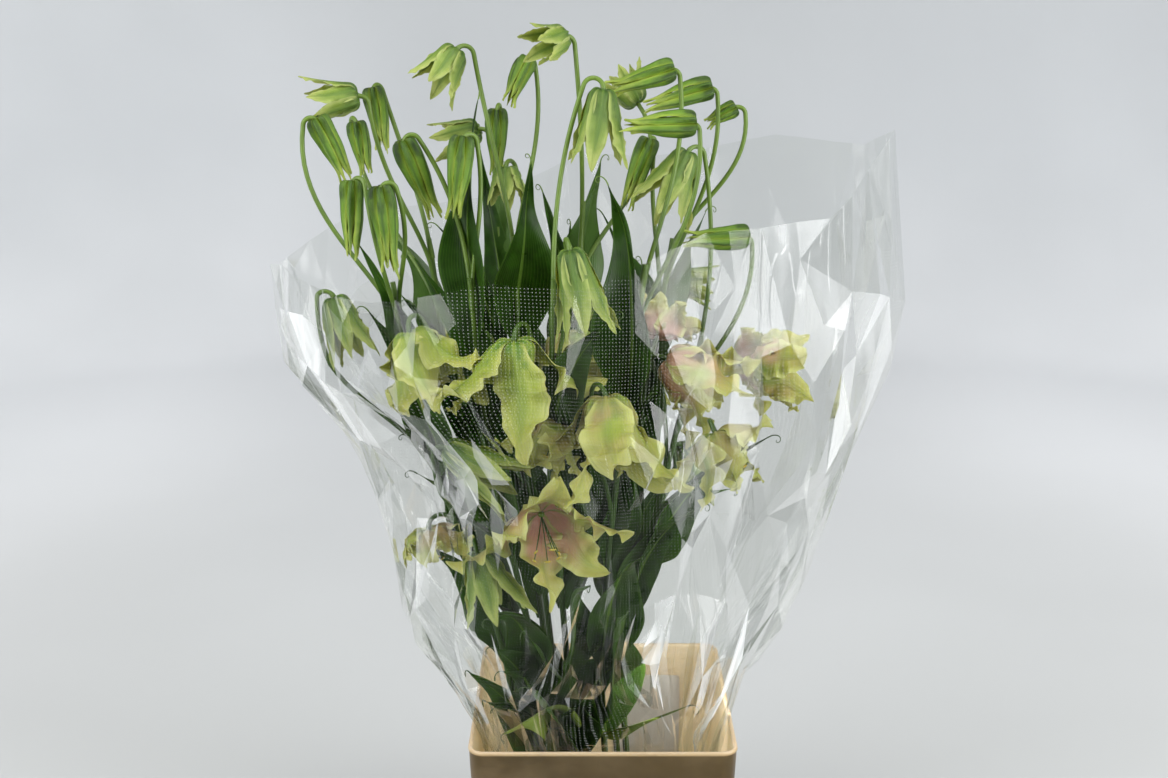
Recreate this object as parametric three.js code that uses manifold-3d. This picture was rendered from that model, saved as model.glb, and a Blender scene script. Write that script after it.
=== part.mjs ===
// A bunch of glory lilies: ten cut stems of a pale green climbing lily, in a clear film sleeve,
// standing in water in a square plastic flower bucket.
// Millimetres, +Z up. The origin is the centre of the bucket's underside; -Y is the bunch's front.

import * as THREE from "three";
import { mergeVertices } from "three/addons/utils/BufferGeometryUtils.js";
import Module from "manifold-3d";

const wasm = await Module();
wasm.setup();

// ---------------------------------------------------------------- driving dimensions

const BUCKET = {
  height: 300,
  topHalf: 135, // half the outer width across the rim
  baseHalf: 122, // half the outer width across the base
  wall: 3,
  floor: 4,
  cornerRadius: 16,
  beadHeight: 5, // rounded top edge
  beadGrowth: 0.8,
};
const WATER_LEVEL = 60;
const CARD = { width: 78, height: 110, thickness: 0.8, centreX: 54, topZ: 262 };
const CLEARANCE = 0.3; // between pieces that touch

const STEM = { footRadius: 3.8, topRadius: 2.6, sides: 5, steps: 8 };
const PEDICEL = {
  radius: 1.9,
  sides: 4,
  crookRadius: { bud: 10, half: 13, open: 18 },
  crookSteps: 3,
  riseSteps: 3,
};
const BLADE_THICKNESS = 1.3; // at the midrib; both edges are sharp
const LEAF_THICKNESS = 1.6;
const SLEEVE = { thickness: 1, around: 36, crease: 11 };

// The stems fan out from a narrow waist just above the rim. Their pattern at the waist and at the
// foot is the pattern of their tops, drawn in by these shares, so that no two stems cross.
const FAN = {
  topCentre: [-60, -20],
  waistCentre: [-40, -12],
  footCentre: [-24, -6],
  waistZ: 330,
  waistShare: 0.4,
  footShare: 0.5,
};

// Where each cut stem ends.
const STEM_TOPS = {
  1: [-206, -50, 760],
  2: [-178, 34, 790],
  3: [-128, -86, 770],
  4: [-108, 52, 800],
  5: [-88, -18, 800],
  6: [-48, -92, 770],
  7: [-20, 24, 830],
  8: [40, -66, 780],
  9: [72, 38, 790],
  10: [100, -20, 700],
};

// Every bloom nods from a crooked stalk: at is where the stalk meets it, tilt is the bloom's angle
// from hanging straight down and heading the way its tips lean, in degrees with 0 along +X and 90
// along +Y. from is the height at which its stalk leaves the stem, and crook the side of the
// stalk, as a heading.
const BLOOMS = [
  // tall buds above the sleeve, from left to right
  { name: "bloom_01", stem: 2, kind: "half", at: [-241, -4, 936], tilt: 80, heading: 191, length: 60, from: 740 },
  { name: "bloom_02", stem: 2, kind: "bud", at: [-229, 30, 938], tilt: 14, heading: 313, length: 60, from: 770, crook: 60 },
  { name: "bloom_03", stem: 2, kind: "bud", at: [-252, 62, 903], tilt: 10, heading: 0, length: 52, from: 700, crook: 120 },
  { name: "bloom_04", stem: 1, kind: "bud", at: [-272, -50, 914], tilt: 26, heading: 22, length: 63, from: 700, crook: 190 },
  { name: "bloom_05", stem: 1, kind: "bud", at: [-236, -90, 858], tilt: 5, heading: 251, length: 66, from: 680, crook: 330 },
  { name: "bloom_06", stem: 1, kind: "bud", at: [-206, -114, 855], tilt: 6, heading: 0, length: 78, from: 720, crook: 20 },
  { name: "bloom_07", stem: 3, kind: "bud", at: [-189, -60, 893], tilt: 23, heading: 20, length: 74, from: 740, crook: 0 },
  { name: "bloom_08", stem: 3, kind: "bud", at: [-133, -78, 898], tilt: 8, heading: 210, length: 72, from: 740, crook: 30 },
  { name: "bloom_09", stem: 5, kind: "half", at: [-143, 0, 980], tilt: 37, heading: 206, length: 60, from: 760, crook: 20 },
  { name: "bloom_10", stem: 5, kind: "bud", at: [-77, 40, 967], tilt: 39, heading: 235, length: 50, from: 770, crook: 50 },
  { name: "bloom_11", stem: 7, kind: "half", at: [-38, -20, 993], tilt: 73, heading: 216, length: 48, from: 770 },
  { name: "bloom_12", stem: 4, kind: "bud", at: [-108, 60, 915], tilt: 5, heading: 103, length: 62, from: 730, crook: 80 },
  { name: "bloom_13", stem: 4, kind: "half", at: [-130, 96, 896], tilt: 69, heading: 170, length: 58, from: 700 },
  { name: "bloom_14", stem: 5, kind: "half", at: [-98, 32, 862], tilt: 20, heading: 278, length: 48, from: 720, crook: 60 },
  { name: "bloom_15", stem: 6, kind: "half", at: [-1, -62, 945], tilt: 11, heading: 219, length: 84, from: 720, crook: 180 },
  { name: "bloom_16", stem: 7, kind: "half", at: [36, 70, 925], tilt: 142, heading: 163, length: 52, from: 740, crook: 340 },
  { name: "bloom_17", stem: 8, kind: "bud", at: [63, -30, 962], tilt: 72, heading: 185, length: 60, from: 740 },
  { name: "bloom_18", stem: 9, kind: "bud", at: [104, 25, 942], tilt: 73, heading: 180, length: 65, from: 730 },
  { name: "bloom_19", stem: 8, kind: "bud", at: [81, -78, 915], tilt: 87, heading: 180, length: 64, from: 700 },
  { name: "bloom_20", stem: 9, kind: "bud", at: [132, 36, 922], tilt: 60, heading: 180, length: 32, from: 770 },
  { name: "bloom_21", stem: 9, kind: "bud", at: [45, 20, 888], tilt: 21, heading: 205, length: 68, from: 700, crook: 60 },
  { name: "bloom_22", stem: 10, kind: "half", at: [84, 2, 881], tilt: 28, heading: 205, length: 84, from: 660, crook: 20 },
  { name: "bloom_23", stem: 10, kind: "bud", at: [136, -52, 805], tilt: 88, heading: 190, length: 62, from: 620 },
  // large hanging blooms inside the sleeve, front
  { name: "bloom_24", stem: 6, kind: "half", at: [-32, -132, 804], tilt: 12, heading: 345, length: 92, from: 640, crook: 100 },
  { name: "bloom_25", stem: 1, kind: "half", at: [-262, -60, 746], tilt: 21, heading: 339, length: 74, from: 560, crook: 180 },
  { name: "bloom_26", stem: 3, kind: "open", at: [-184, -106, 720], tilt: 20, heading: 350, length: 78, from: 590, crook: 60 },
  { name: "bloom_27", stem: 6, kind: "open", at: [-84, -128, 717], tilt: 5, heading: 0, length: 106, from: 560, crook: 60 },
  { name: "bloom_28", stem: 5, kind: "open", at: [-26, -30, 704], tilt: 6, heading: 270, length: 69, from: 560, crook: 110 },
  { name: "bloom_29", stem: 8, kind: "open", at: [2, -126, 662], tilt: 14, heading: 310, length: 108, from: 500, crook: 120 },
  { name: "bloom_30", stem: 10, kind: "open", at: [64, -58, 684], tilt: 60, heading: 350, length: 88, from: 530, crook: 140 },
  { name: "bloom_31", stem: 9, kind: "open", at: [55, -18, 700], tilt: 150, heading: 54, length: 44, from: 560, crook: 200 },
  { name: "bloom_32", stem: 10, kind: "open", at: [142, 26, 668], tilt: 100, heading: 350, length: 58, from: 560 },
  { name: "bloom_33", stem: 9, kind: "half", at: [80, 80, 738], tilt: 80, heading: 0, length: 50, from: 600 },
  { name: "bloom_34", stem: 3, kind: "half", at: [-150, -124, 613], tilt: 62, heading: 345, length: 92, from: 470 },
  { name: "bloom_35", stem: 6, kind: "open", at: [-61, -112, 544], tilt: 50, heading: 285, length: 88, from: 420, crook: 120 },
  { name: "bloom_36", stem: 3, kind: "half", at: [-124, -104, 500], tilt: 18, heading: 0, length: 84, from: 400, crook: 90 },
  { name: "bloom_37", stem: 1, kind: "open", at: [-178, -40, 500], tilt: 14, heading: 330, length: 54, from: 400, crook: 0 },
  { name: "bloom_38", stem: 5, kind: "half", at: [-122, -24, 704], tilt: 30, heading: 250, length: 60, from: 590, crook: 90 },
  { name: "bloom_39", stem: 7, kind: "half", at: [12, 16, 744], tilt: 14, heading: 258, length: 60, from: 600, crook: 80 },
  { name: "bloom_40", stem: 10, kind: "open", at: [106, -128, 628], tilt: 30, heading: 330, length: 72, from: 500, crook: 90 },
  { name: "bloom_45", stem: 10, kind: "open", at: [152, -36, 672], tilt: 80, heading: 10, length: 62, from: 600, crook: 120 },
  { name: "bloom_46", stem: 6, kind: "open", at: [-44, -92, 626], tilt: 24, heading: 210, length: 56, from: 490, crook: 90 },
  // open blooms inside the sleeve, back
  { name: "bloom_41", stem: 2, kind: "open", at: [-160, 76, 660], tilt: 35, heading: 110, length: 64, from: 540, crook: 290 },
  { name: "bloom_42", stem: 4, kind: "open", at: [-86, 82, 590], tilt: 30, heading: 80, length: 76, from: 470, crook: 260 },
  { name: "bloom_43", stem: 7, kind: "open", at: [16, 92, 640], tilt: 35, heading: 70, length: 74, from: 500, crook: 250 },
  { name: "bloom_44", stem: 9, kind: "half", at: [86, 62, 560], tilt: 35, heading: 30, length: 80, from: 450, crook: 240 },
];

// Leaves clasp the stem at height z and rise to their tip, broad side to this heading. rise is how
// far they go straight up before they lean, as a share of their length, and belly how far they
// swing out to the side on the way.
const LEAVES = [
  { stem: 1, z: 650, tip: [-236, -76, 806], half: 15, facing: 250, rise: 0.4 },
  { stem: 1, z: 560, tip: [-226, -84, 742], half: 24, facing: 265, rise: 0.4 },
  { stem: 1, z: 350, tip: [-196, 14, 470], half: 22, facing: 260, rise: 0.5 },
  { stem: 2, z: 660, tip: [-236, 84, 800], half: 22, facing: 120, rise: 0.5 },
  { stem: 2, z: 440, tip: [-190, 84, 556], half: 25, facing: 110, rise: 0.6 },
  { stem: 3, z: 700, tip: [-114, -40, 936], half: 26, facing: 255, rise: 0.3, belly: [-14, 0] },
  { stem: 3, z: 600, tip: [-186, -58, 786], half: 24, facing: 280, rise: 0.5 },
  { stem: 3, z: 345, tip: [-116, -96, 432], half: 26, facing: 260, rise: 0.5 },
  { stem: 4, z: 690, tip: [-110, 78, 860], half: 24, facing: 100, rise: 0.4 },
  { stem: 4, z: 380, tip: [-128, 124, 540], half: 28, facing: 100, rise: 0.6 },
  { stem: 5, z: 690, tip: [-72, -40, 878], half: 32, facing: 280, rise: 0.4 },
  { stem: 6, z: 590, tip: [12, -112, 742], half: 26, facing: 272, rise: 0.5 },
  { stem: 6, z: 335, tip: [-20, -112, 474], half: 28, facing: 280, rise: 0.5 },
  { stem: 6, z: 300, tip: [-104, -104, 316], half: 22, facing: 270, rise: 0.6 },
  { stem: 7, z: 700, tip: [-6, 52, 872], half: 26, facing: 80, rise: 0.4 },
  { stem: 7, z: 400, tip: [-8, 120, 560], half: 28, facing: 80, rise: 0.6 },
  { stem: 8, z: 630, tip: [4, -84, 862], half: 30, facing: 275, rise: 0.5, belly: [24, -24] },
  { stem: 8, z: 345, tip: [40, -92, 500], half: 28, facing: 290, rise: 0.5 },
  { stem: 8, z: 290, tip: [92, -62, 316], half: 8, facing: 300, rise: 0.3 },
  { stem: 9, z: 660, tip: [104, 74, 820], half: 24, facing: 60, rise: 0.4 },
  { stem: 9, z: 400, tip: [142, 50, 516], half: 24, facing: 50, rise: 0.6 },
  { stem: 10, z: 440, tip: [168, -26, 600], half: 22, facing: 275, rise: 0.3 },
  { stem: 10, z: 380, tip: [104, -60, 540], half: 20, facing: 285, rise: 0.5 },
];

const COLOURS = {
  bucket: 0xd9c79b,
  water: 0xcfe0dc,
  card: 0xeceae6,
  sleeve: 0xf4f7f8,
  stem: 0x3f7a2e,
  bud: 0x8fbf4a,
  half: 0xb4d468,
  open: 0xdcdc7c,
};

// ---------------------------------------------------------------- small helpers

const UP = new THREE.Vector3(0, 0, 1);
const DOWN = new THREE.Vector3(0, 0, -1);
const TAU = 2 * Math.PI;
const radians = THREE.MathUtils.degToRad;
const vec = (x, y, z) => new THREE.Vector3(x, y, z);

/** start + a * p + b * q + ..., for pairs of a length and a direction. */
function move(start, ...pairs) {
  const end = start.clone();
  for (let i = 0; i < pairs.length; i += 2) end.addScaledVector(pairs[i + 1], pairs[i]);
  return end;
}

/** The unit vector at this angle from straight down, leaning to this heading, both in degrees. */
function leaning(tilt, heading) {
  const [t, h] = [radians(tilt), radians(heading)];
  return vec(Math.sin(t) * Math.cos(h), Math.sin(t) * Math.sin(h), -Math.cos(t));
}

/** A smooth step from 0 to 1 as x goes from a to b. */
const ease = (x, a, b) => THREE.MathUtils.smoothstep(x, a, b);

/** The value at x of a line through [x, value] pairs. */
function along(pairs, x) {
  const next = pairs.findIndex(([at]) => at >= x);
  if (next === -1) return pairs[pairs.length - 1][1];
  if (next === 0) return pairs[0][1];
  const [[x0, v0], [x1, v1]] = [pairs[next - 1], pairs[next]];
  return v0 + ((v1 - v0) * (x - x0)) / (x1 - x0);
}

// ---------------------------------------------------------------- skins

/** Collects points and triangles of one closed skin. */
class Skin {
  points = [];
  triangles = [];

  add(point) {
    this.points.push(point);
    return this.points.length - 1;
  }

  ring(points) {
    return points.map((p) => this.add(p));
  }

  face(a, b, c) {
    this.triangles.push(a, b, c);
  }

  /**
   * Joins ring a to ring b; either may be a single point. Quads are split from a's first corner,
   * or from its second where crossed says so: the two skins of a thin wall are split alike, so
   * that a fold can't carry one through the other.
   */
  band(a, b, crossed = () => false) {
    const n = Math.max(a.length, b.length);
    for (let i = 0; i < n; i++) {
      const j = (i + 1) % n;
      if (b.length === 1) this.face(a[i], a[j], b[0]);
      else if (a.length === 1) this.face(a[0], b[j], b[i]);
      else if (crossed(i)) {
        this.face(a[i], a[j], b[i]);
        this.face(a[j], b[j], b[i]);
      } else {
        this.face(a[i], a[j], b[j]);
        this.face(a[i], b[j], b[i]);
      }
    }
  }

  /** Closes a ring with a fan; the first ring of a skin is closed the other way round. */
  cap(ring, first) {
    for (let i = 1; i + 1 < ring.length; i++)
      if (first) this.face(ring[0], ring[i + 1], ring[i]);
      else this.face(ring[0], ring[i], ring[i + 1]);
  }

  geometry() {
    const g = new THREE.BufferGeometry().setFromPoints(this.points);
    g.setIndex(this.triangles);
    return facingOut(g);
  }
}

/** Turns a closed geometry's faces round if they point inwards. */
function facingOut(g) {
  const p = g.attributes.position;
  const corner = (i) => vec(0, 0, 0).fromBufferAttribute(p, g.index.getX(i));
  let volume = 0;
  for (let i = 0; i < g.index.count; i += 3)
    volume += corner(i).dot(corner(i + 1).cross(corner(i + 2)));
  if (volume < 0)
    for (let i = 0; i < g.index.count; i += 3) {
      const held = g.index.getX(i);
      g.index.setX(i, g.index.getX(i + 1));
      g.index.setX(i + 1, held);
    }
  return g;
}

/** For a blade's rings of four points: both of its skins are split alike. */
const BLADE = (i) => i % 2 === 1;

/** A closed skin through rings of points; a ring of one point is a tip. */
function loft(rings, crossed) {
  const skin = new Skin();
  const made = rings.map((r) => skin.ring(r));
  for (let i = 0; i + 1 < made.length; i++) skin.band(made[i], made[i + 1], crossed);
  skin.cap(made[0], true);
  skin.cap(made[made.length - 1], false);
  return skin.geometry();
}

/** A tapered round tube of n sides along points, with radius(share of the way). */
function tube(points, radius, n) {
  let side = null;
  const rings = points.map((p, i) => {
    const before = points[Math.max(i - 1, 0)];
    const after = points[Math.min(i + 1, points.length - 1)];
    const ahead = after.clone().sub(before).normalize();
    side ??= Math.abs(ahead.x) < 0.9 ? vec(1, 0, 0) : vec(0, 1, 0);
    side = move(side, -side.dot(ahead), ahead).normalize();
    const other = ahead.clone().cross(side);
    const r = radius(i / (points.length - 1));
    return Array.from({ length: n }, (_, k) => {
      const turn = (TAU * k) / n;
      return move(p, r * Math.cos(turn), side, r * Math.sin(turn), other);
    });
  });
  return loft(rings);
}

// ---------------------------------------------------------------- solids

function solid(geometry) {
  const bare = new THREE.BufferGeometry().setAttribute("position", geometry.attributes.position);
  bare.setIndex(geometry.index);
  const merged = mergeVertices(bare, 1e-4);
  return new wasm.Manifold(
    new wasm.Mesh({
      numProp: 3,
      vertProperties: new Float32Array(merged.attributes.position.array),
      triVerts: new Uint32Array(merged.index.array),
    }),
  );
}

function geometryOf(manifold) {
  const { vertProperties, triVerts } = manifold.getMesh();
  return new THREE.BufferGeometry()
    .setAttribute("position", new THREE.BufferAttribute(new Float32Array(vertProperties), 3))
    .setIndex(new THREE.BufferAttribute(new Uint32Array(triVerts), 1));
}

// ---------------------------------------------------------------- bucket, water and card

/** Half the bucket's outer width at height z. */
const bucketHalf = (z) =>
  BUCKET.baseHalf + ((BUCKET.topHalf - BUCKET.baseHalf) * z) / BUCKET.height;

/** A square of this half width with round corners, at height z. */
function roundedSquare(half, corner, z) {
  const steps = 3;
  const points = [];
  for (let q = 0; q < 4; q++)
    for (let k = 0; k <= steps; k++) {
      const turn = ((q + k / steps) * TAU) / 4;
      const [cx, cy] = [
        (half - corner) * (q === 0 || q === 3 ? 1 : -1),
        (half - corner) * (q < 2 ? 1 : -1),
      ];
      points.push(vec(cx + corner * Math.cos(turn), cy + corner * Math.sin(turn), z));
    }
  return points;
}

function bucket() {
  const { height, wall, floor, cornerRadius, beadHeight, beadGrowth } = BUCKET;
  const outer = (z, grow = 0) => roundedSquare(bucketHalf(z) + grow, cornerRadius + grow, z);
  const inner = (z, grow = 0) =>
    roundedSquare(bucketHalf(z) - wall - grow, cornerRadius - wall - grow, z);
  return loft([
    roundedSquare(bucketHalf(0) - 2, cornerRadius - 2, 0),
    outer(2),
    outer(height - beadHeight),
    outer(height - beadHeight / 2, beadGrowth),
    outer(height, -0.4),
    inner(height, -0.4),
    inner(height - beadHeight / 2, beadGrowth),
    inner(height - beadHeight),
    inner(floor),
  ]);
}

function water(stemFeet) {
  const inset = BUCKET.wall + 0.5;
  const ring = (z) => roundedSquare(bucketHalf(z) - inset, BUCKET.cornerRadius - inset, z);
  let body = solid(loft([ring(BUCKET.floor + CLEARANCE), ring(WATER_LEVEL)]));
  const reach = (STEM.footRadius + CLEARANCE) / Math.cos(Math.PI / STEM.sides) + 0.2;
  for (const line of stemFeet) body = body.subtract(solid(tube(line, () => reach, STEM.sides)));
  return geometryOf(body);
}

/** A blank card held between the sleeve and the bucket's back wall. */
function card() {
  const lean = Math.atan2(BUCKET.topHalf - BUCKET.baseHalf, BUCKET.height);
  const g = new THREE.BoxGeometry(CARD.width, CARD.thickness, CARD.height);
  g.translate(0, -CARD.thickness / 2 - CLEARANCE, -CARD.height / 2);
  g.rotateX(-lean);
  g.translate(CARD.centreX, bucketHalf(CARD.topZ) - BUCKET.wall, CARD.topZ);
  const merged = new THREE.BufferGeometry().setAttribute("position", g.attributes.position);
  merged.setIndex(g.index);
  return mergeVertices(merged, 1e-4);
}

// ---------------------------------------------------------------- sleeve

// The sleeve's reach to the left, right, front and back at each height. Its left corner hangs out
// above 650 mm.
const SLEEVE_REACH = [
  [120, -114, 112, -108, 108],
  [296, -129.8, 129.8, -129.8, 127],
  [362, -172, 152, -150, 140],
  [430, -212, 196, -186, 166],
  [520, -228, 232, -206, 176],
  [600, -262, 264, -214, 180],
  [640, -278, 276, -216, 182],
  [656, -316, 280, -217, 182],
  [750, -326, 290, -216, 180],
  [800, -328, 288, -212, 178],
  [910, -330, 278, -190, 162],
];
// Its rings: the low ones level at these heights, the others at shares of the way up to the edge.
const SLEEVE_LOW = [120, 296, 362];
const SLEEVE_HIGH = [0.2, 0.44, 0.67, 0.71, 1];

/** A triangle wave between -1 and 1 that repeats at every whole number. */
const zigzag = (x) => 4 * Math.abs(x - Math.floor(x) - 0.5) - 1;

/** The film's creases, between -1 and 1: long slanting pleats, broken up by a second set. */
const crease = (turn, z) =>
  0.6 * zigzag((9 * turn) / TAU + z / 700) + 0.4 * zigzag((5 * turn) / TAU - z / 330 + 0.3);

/** The sleeve's top edge: highest at the back and at the right-hand corner. */
function sleeveTop(turn) {
  const corner = 32 * Math.exp(-((Math.sin(turn / 2) / 0.2) ** 2));
  const level = 822 + 48 * Math.cos(turn) + 33 * Math.sin(turn);
  return level + corner + 7 * zigzag((7 * turn) / TAU + 0.2);
}

/** A point of the sleeve's outer skin at height z, or one this far inwards of it. */
function sleevePoint(turn, z, inward) {
  const [left, right, front, back] = [1, 2, 3, 4].map((k) =>
    along(SLEEVE_REACH.map((row) => [row[0], row[k]]), z),
  );
  const [c, s] = [Math.cos(turn), Math.sin(turn)];
  const power = 2 / (2 + 1.6 * (1 - ease(z, 300, 420))); // squarer inside the bucket
  const fold = SLEEVE.crease * ease(z, 310, 480) * crease(turn, z) - inward;
  const middle = [(left + right) / 2, (front + back) / 2];
  const reach = [(right - left) / 2 + fold, (back - front) / 2 + fold];
  return vec(
    middle[0] + reach[0] * Math.sign(c) * Math.abs(c) ** power,
    middle[1] + reach[1] * Math.sign(s) * Math.abs(s) ** power,
    z,
  );
}

function sleeve() {
  const tied = SLEEVE_LOW[SLEEVE_LOW.length - 1];
  const levels = [
    ...SLEEVE_LOW.map((z) => () => z),
    ...SLEEVE_HIGH.map((share) => (turn) => tied + share * (sleeveTop(turn) - tied)),
  ];
  const skin = new Skin();
  const ring = (level, inward) =>
    skin.ring(
      Array.from({ length: SLEEVE.around }, (_, k) => {
        const turn = (TAU * (k + 0.5)) / SLEEVE.around;
        return sleevePoint(turn, level(turn), inward);
      }),
    );
  const rows = [
    ...levels.map((level) => ring(level, 0)),
    ...levels.toReversed().map((level) => ring(level, SLEEVE.thickness)),
  ];
  const inside = (i) => i >= levels.length;
  rows.forEach((row, i) => skin.band(row, rows[(i + 1) % rows.length], () => inside(i)));
  return skin.geometry();
}

// ---------------------------------------------------------------- stems and leaves

/** The centre line of a cut stem from the bucket's floor to its top. */
function stemLine(number) {
  const [tx, ty, tz] = STEM_TOPS[number];
  const [dx, dy] = [tx - FAN.topCentre[0], ty - FAN.topCentre[1]];
  const at = (centre, share, z) => vec(centre[0] + share * dx, centre[1] + share * dy, z);
  return new THREE.CatmullRomCurve3(
    [
      at(FAN.footCentre, FAN.footShare, BUCKET.floor - 2),
      at(FAN.waistCentre, FAN.waistShare, FAN.waistZ),
      vec(tx - dx * 0.22, ty - dy * 0.22, FAN.waistZ + 0.6 * (tz - FAN.waistZ)),
      vec(tx, ty, tz),
    ],
    false,
    "centripetal",
  );
}

/** The share of the curve's length at which it reaches height z. */
function shareAt(curve, z) {
  let [low, high] = [0, 1];
  for (let i = 0; i < 30; i++) {
    const middle = (low + high) / 2;
    if (curve.getPoint(middle).z < z) low = middle;
    else high = middle;
  }
  return (low + high) / 2;
}

/** The stalk from the stem up and over the crook, ending just short of the bloom. */
function pedicelPoints(bloom, stem) {
  const tips = leaning(bloom.tilt, bloom.heading);
  const leaving = tips.clone().negate();
  const end = move(vec(...bloom.at), CLEARANCE, leaving);
  const side = leaning(90, bloom.crook ?? bloom.heading + 180);
  const across = move(side, 0.05, DOWN);
  across.addScaledVector(leaving, -across.dot(leaving)).normalize();
  const turn = 0.94 * Math.atan2(Math.max(DOWN.dot(across), 1e-6), DOWN.dot(leaving));
  const { crookRadius, crookSteps, riseSteps } = PEDICEL;
  const r = crookRadius[bloom.kind];
  const points = [end];
  for (let i = 1; i <= crookSteps; i++) {
    const a = (turn * i) / crookSteps;
    points.push(move(end, r * Math.sin(a), leaving, r * (1 - Math.cos(a)), across));
  }
  const foot = points[points.length - 1];
  const footWay = move(vec(0, 0, 0), Math.cos(turn), leaving, Math.sin(turn), across);
  const share = shareAt(stem, bloom.from);
  const root = stem.getPoint(share);
  const rootWay = stem.getTangent(share);
  const reach = foot.distanceTo(root);
  const rise = new THREE.CubicBezierCurve3(
    foot,
    move(foot, 0.42 * reach, footWay),
    move(root, 0.3 * reach, rootWay),
    root,
  );
  points.push(...rise.getPoints(riseSteps).slice(1));
  return points.reverse();
}

// Half width of a leaf along its length, as shares.
const LEAF_OUTLINE = [
  [0, 0.12],
  [0.12, 0.5],
  [0.3, 0.92],
  [0.48, 1],
  [0.7, 0.64],
  [0.88, 0.24],
  [1, 0],
];

/** A cupped leaf: a thin blade, sharp at both edges, lofted along its midrib. */
function leaf({ z, tip, half, facing, rise, belly = [0, 0] }, stem) {
  const root = stem.getPoint(shareAt(stem, z));
  const end = vec(...tip);
  const midrib = new THREE.QuadraticBezierCurve3(
    root,
    move(root, rise * root.distanceTo(end), UP).add(vec(...belly, 0)),
    end,
  );
  const broad = leaning(90, facing);
  const rings = LEAF_OUTLINE.map(([share, width]) => {
    const point = midrib.getPoint(share);
    if (share === 1) return [point];
    const way = midrib.getTangent(share);
    const side = way.clone().cross(broad).normalize();
    const face = side.clone().cross(way);
    const [reach, lift] = [half * width, 0.28 * half * width];
    return [
      move(point, -reach, side, lift, face),
      move(point, -LEAF_THICKNESS / 2, face),
      move(point, reach, side, lift, face),
      move(point, LEAF_THICKNESS / 2, face),
    ];
  });
  return loft(rings, BLADE);
}

function leafyStem(number) {
  const line = stemLine(number);
  const taper = (share) => THREE.MathUtils.lerp(STEM.footRadius, STEM.topRadius, share);
  const pieces = [tube(line.getPoints(STEM.steps), taper, STEM.sides)];
  for (const bloom of BLOOMS.filter((b) => b.stem === number))
    pieces.push(tube(pedicelPoints(bloom, line), () => PEDICEL.radius, PEDICEL.sides));
  for (const spec of LEAVES.filter((l) => l.stem === number)) pieces.push(leaf(spec, line));
  const whole = wasm.Manifold.union(pieces.map(solid));
  return geometryOf(whole.trimByPlane([0, 0, 1], BUCKET.floor + CLEARANCE)); // cut level, it stands
}

// ---------------------------------------------------------------- blooms

// How each kind of bloom opens. spread is a tepal's angle from the bloom's axis beyond the knuckle
// at its base, curl what the tip adds to it, half its half width and wave its edge's waves.
const KINDS = {
  half: { spread: 11, curl: 12, half: 8.4, wave: 0.8, shares: [0.14, 0.4, 0.74, 1] },
  open: { spread: 14, curl: 34, half: 13, wave: 4, shares: [0.12, 0.26, 0.44, 0.62, 0.8, 1] },
};
const TEPALS = 6;

/** Two directions square to the bloom's axis. */
function axesOf(axis) {
  const u = Math.abs(axis.z) < 0.9 ? UP.clone() : vec(0, 1, 0);
  u.addScaledVector(axis, -u.dot(axis)).normalize();
  return [u, axis.clone().cross(u)];
}

/** The point of a tepal's midrib at each share of its length, as [radius, depth, angle] rows. */
function midrib(length, spread, curl, shares) {
  const steps = 60;
  const knuckle = Math.min(0.2, 14 / length);
  const rows = [];
  let [radius, depth] = [1.6, 0.5];
  let next = 0;
  for (let i = 0; i <= steps; i++) {
    const share = i / steps;
    const over = ease(share, 0, knuckle);
    const angle = (1 - over) * 100 + over * (spread + curl * share * share);
    while (next < shares.length && share >= shares[next] - 1e-9) {
      rows.push([radius, depth, angle]);
      next++;
    }
    radius += (Math.sin(radians(angle)) * length) / steps;
    depth += (Math.cos(radians(angle)) * length) / steps;
  }
  return rows;
}

/** A closed bud: six tepals packed into a ribbed column, knuckled at the base, free at the tips. */
function bud(origin, axis, length) {
  const size = length / 65;
  const skin = new Skin();
  const [u, v] = axesOf(axis);
  const girth = Math.sqrt(size);
  const rows = [
    [6.6, -0.6 - 1.4 * size, 0.72],
    [11, 9 * size, 0.66],
    [10.4, 30 * size, 0.66],
    [7, 47 * size, 0.62],
  ];
  const at = (radius, depth, turn) =>
    move(origin, depth, axis, radius * Math.cos(turn), u, radius * Math.sin(turn), v);
  let last = [skin.add(at(0, 1.6, 0))];
  for (const [radius, depth, groove] of rows) {
    const ring = Array.from({ length: 2 * TEPALS }, (_, k) =>
      at(radius * girth * (k % 2 ? groove : 1), depth, (Math.PI * k) / TEPALS),
    );
    const made = skin.ring(ring);
    skin.band(last, made);
    last = made;
  }
  const core = skin.add(at(0, 50 * size, 0));
  for (let k = 0; k < TEPALS; k++) {
    const tip = skin.add(at(4.6 * girth, length - (k % 2) * 3, (TAU * k) / TEPALS));
    const [before, ridge, after] = [(2 * k + 11) % 12, 2 * k, 2 * k + 1].map((n) => last[n]);
    skin.face(before, ridge, tip);
    skin.face(ridge, after, tip);
    skin.face(after, core, tip);
    skin.face(core, before, tip);
  }
  return skin.geometry();
}

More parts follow.
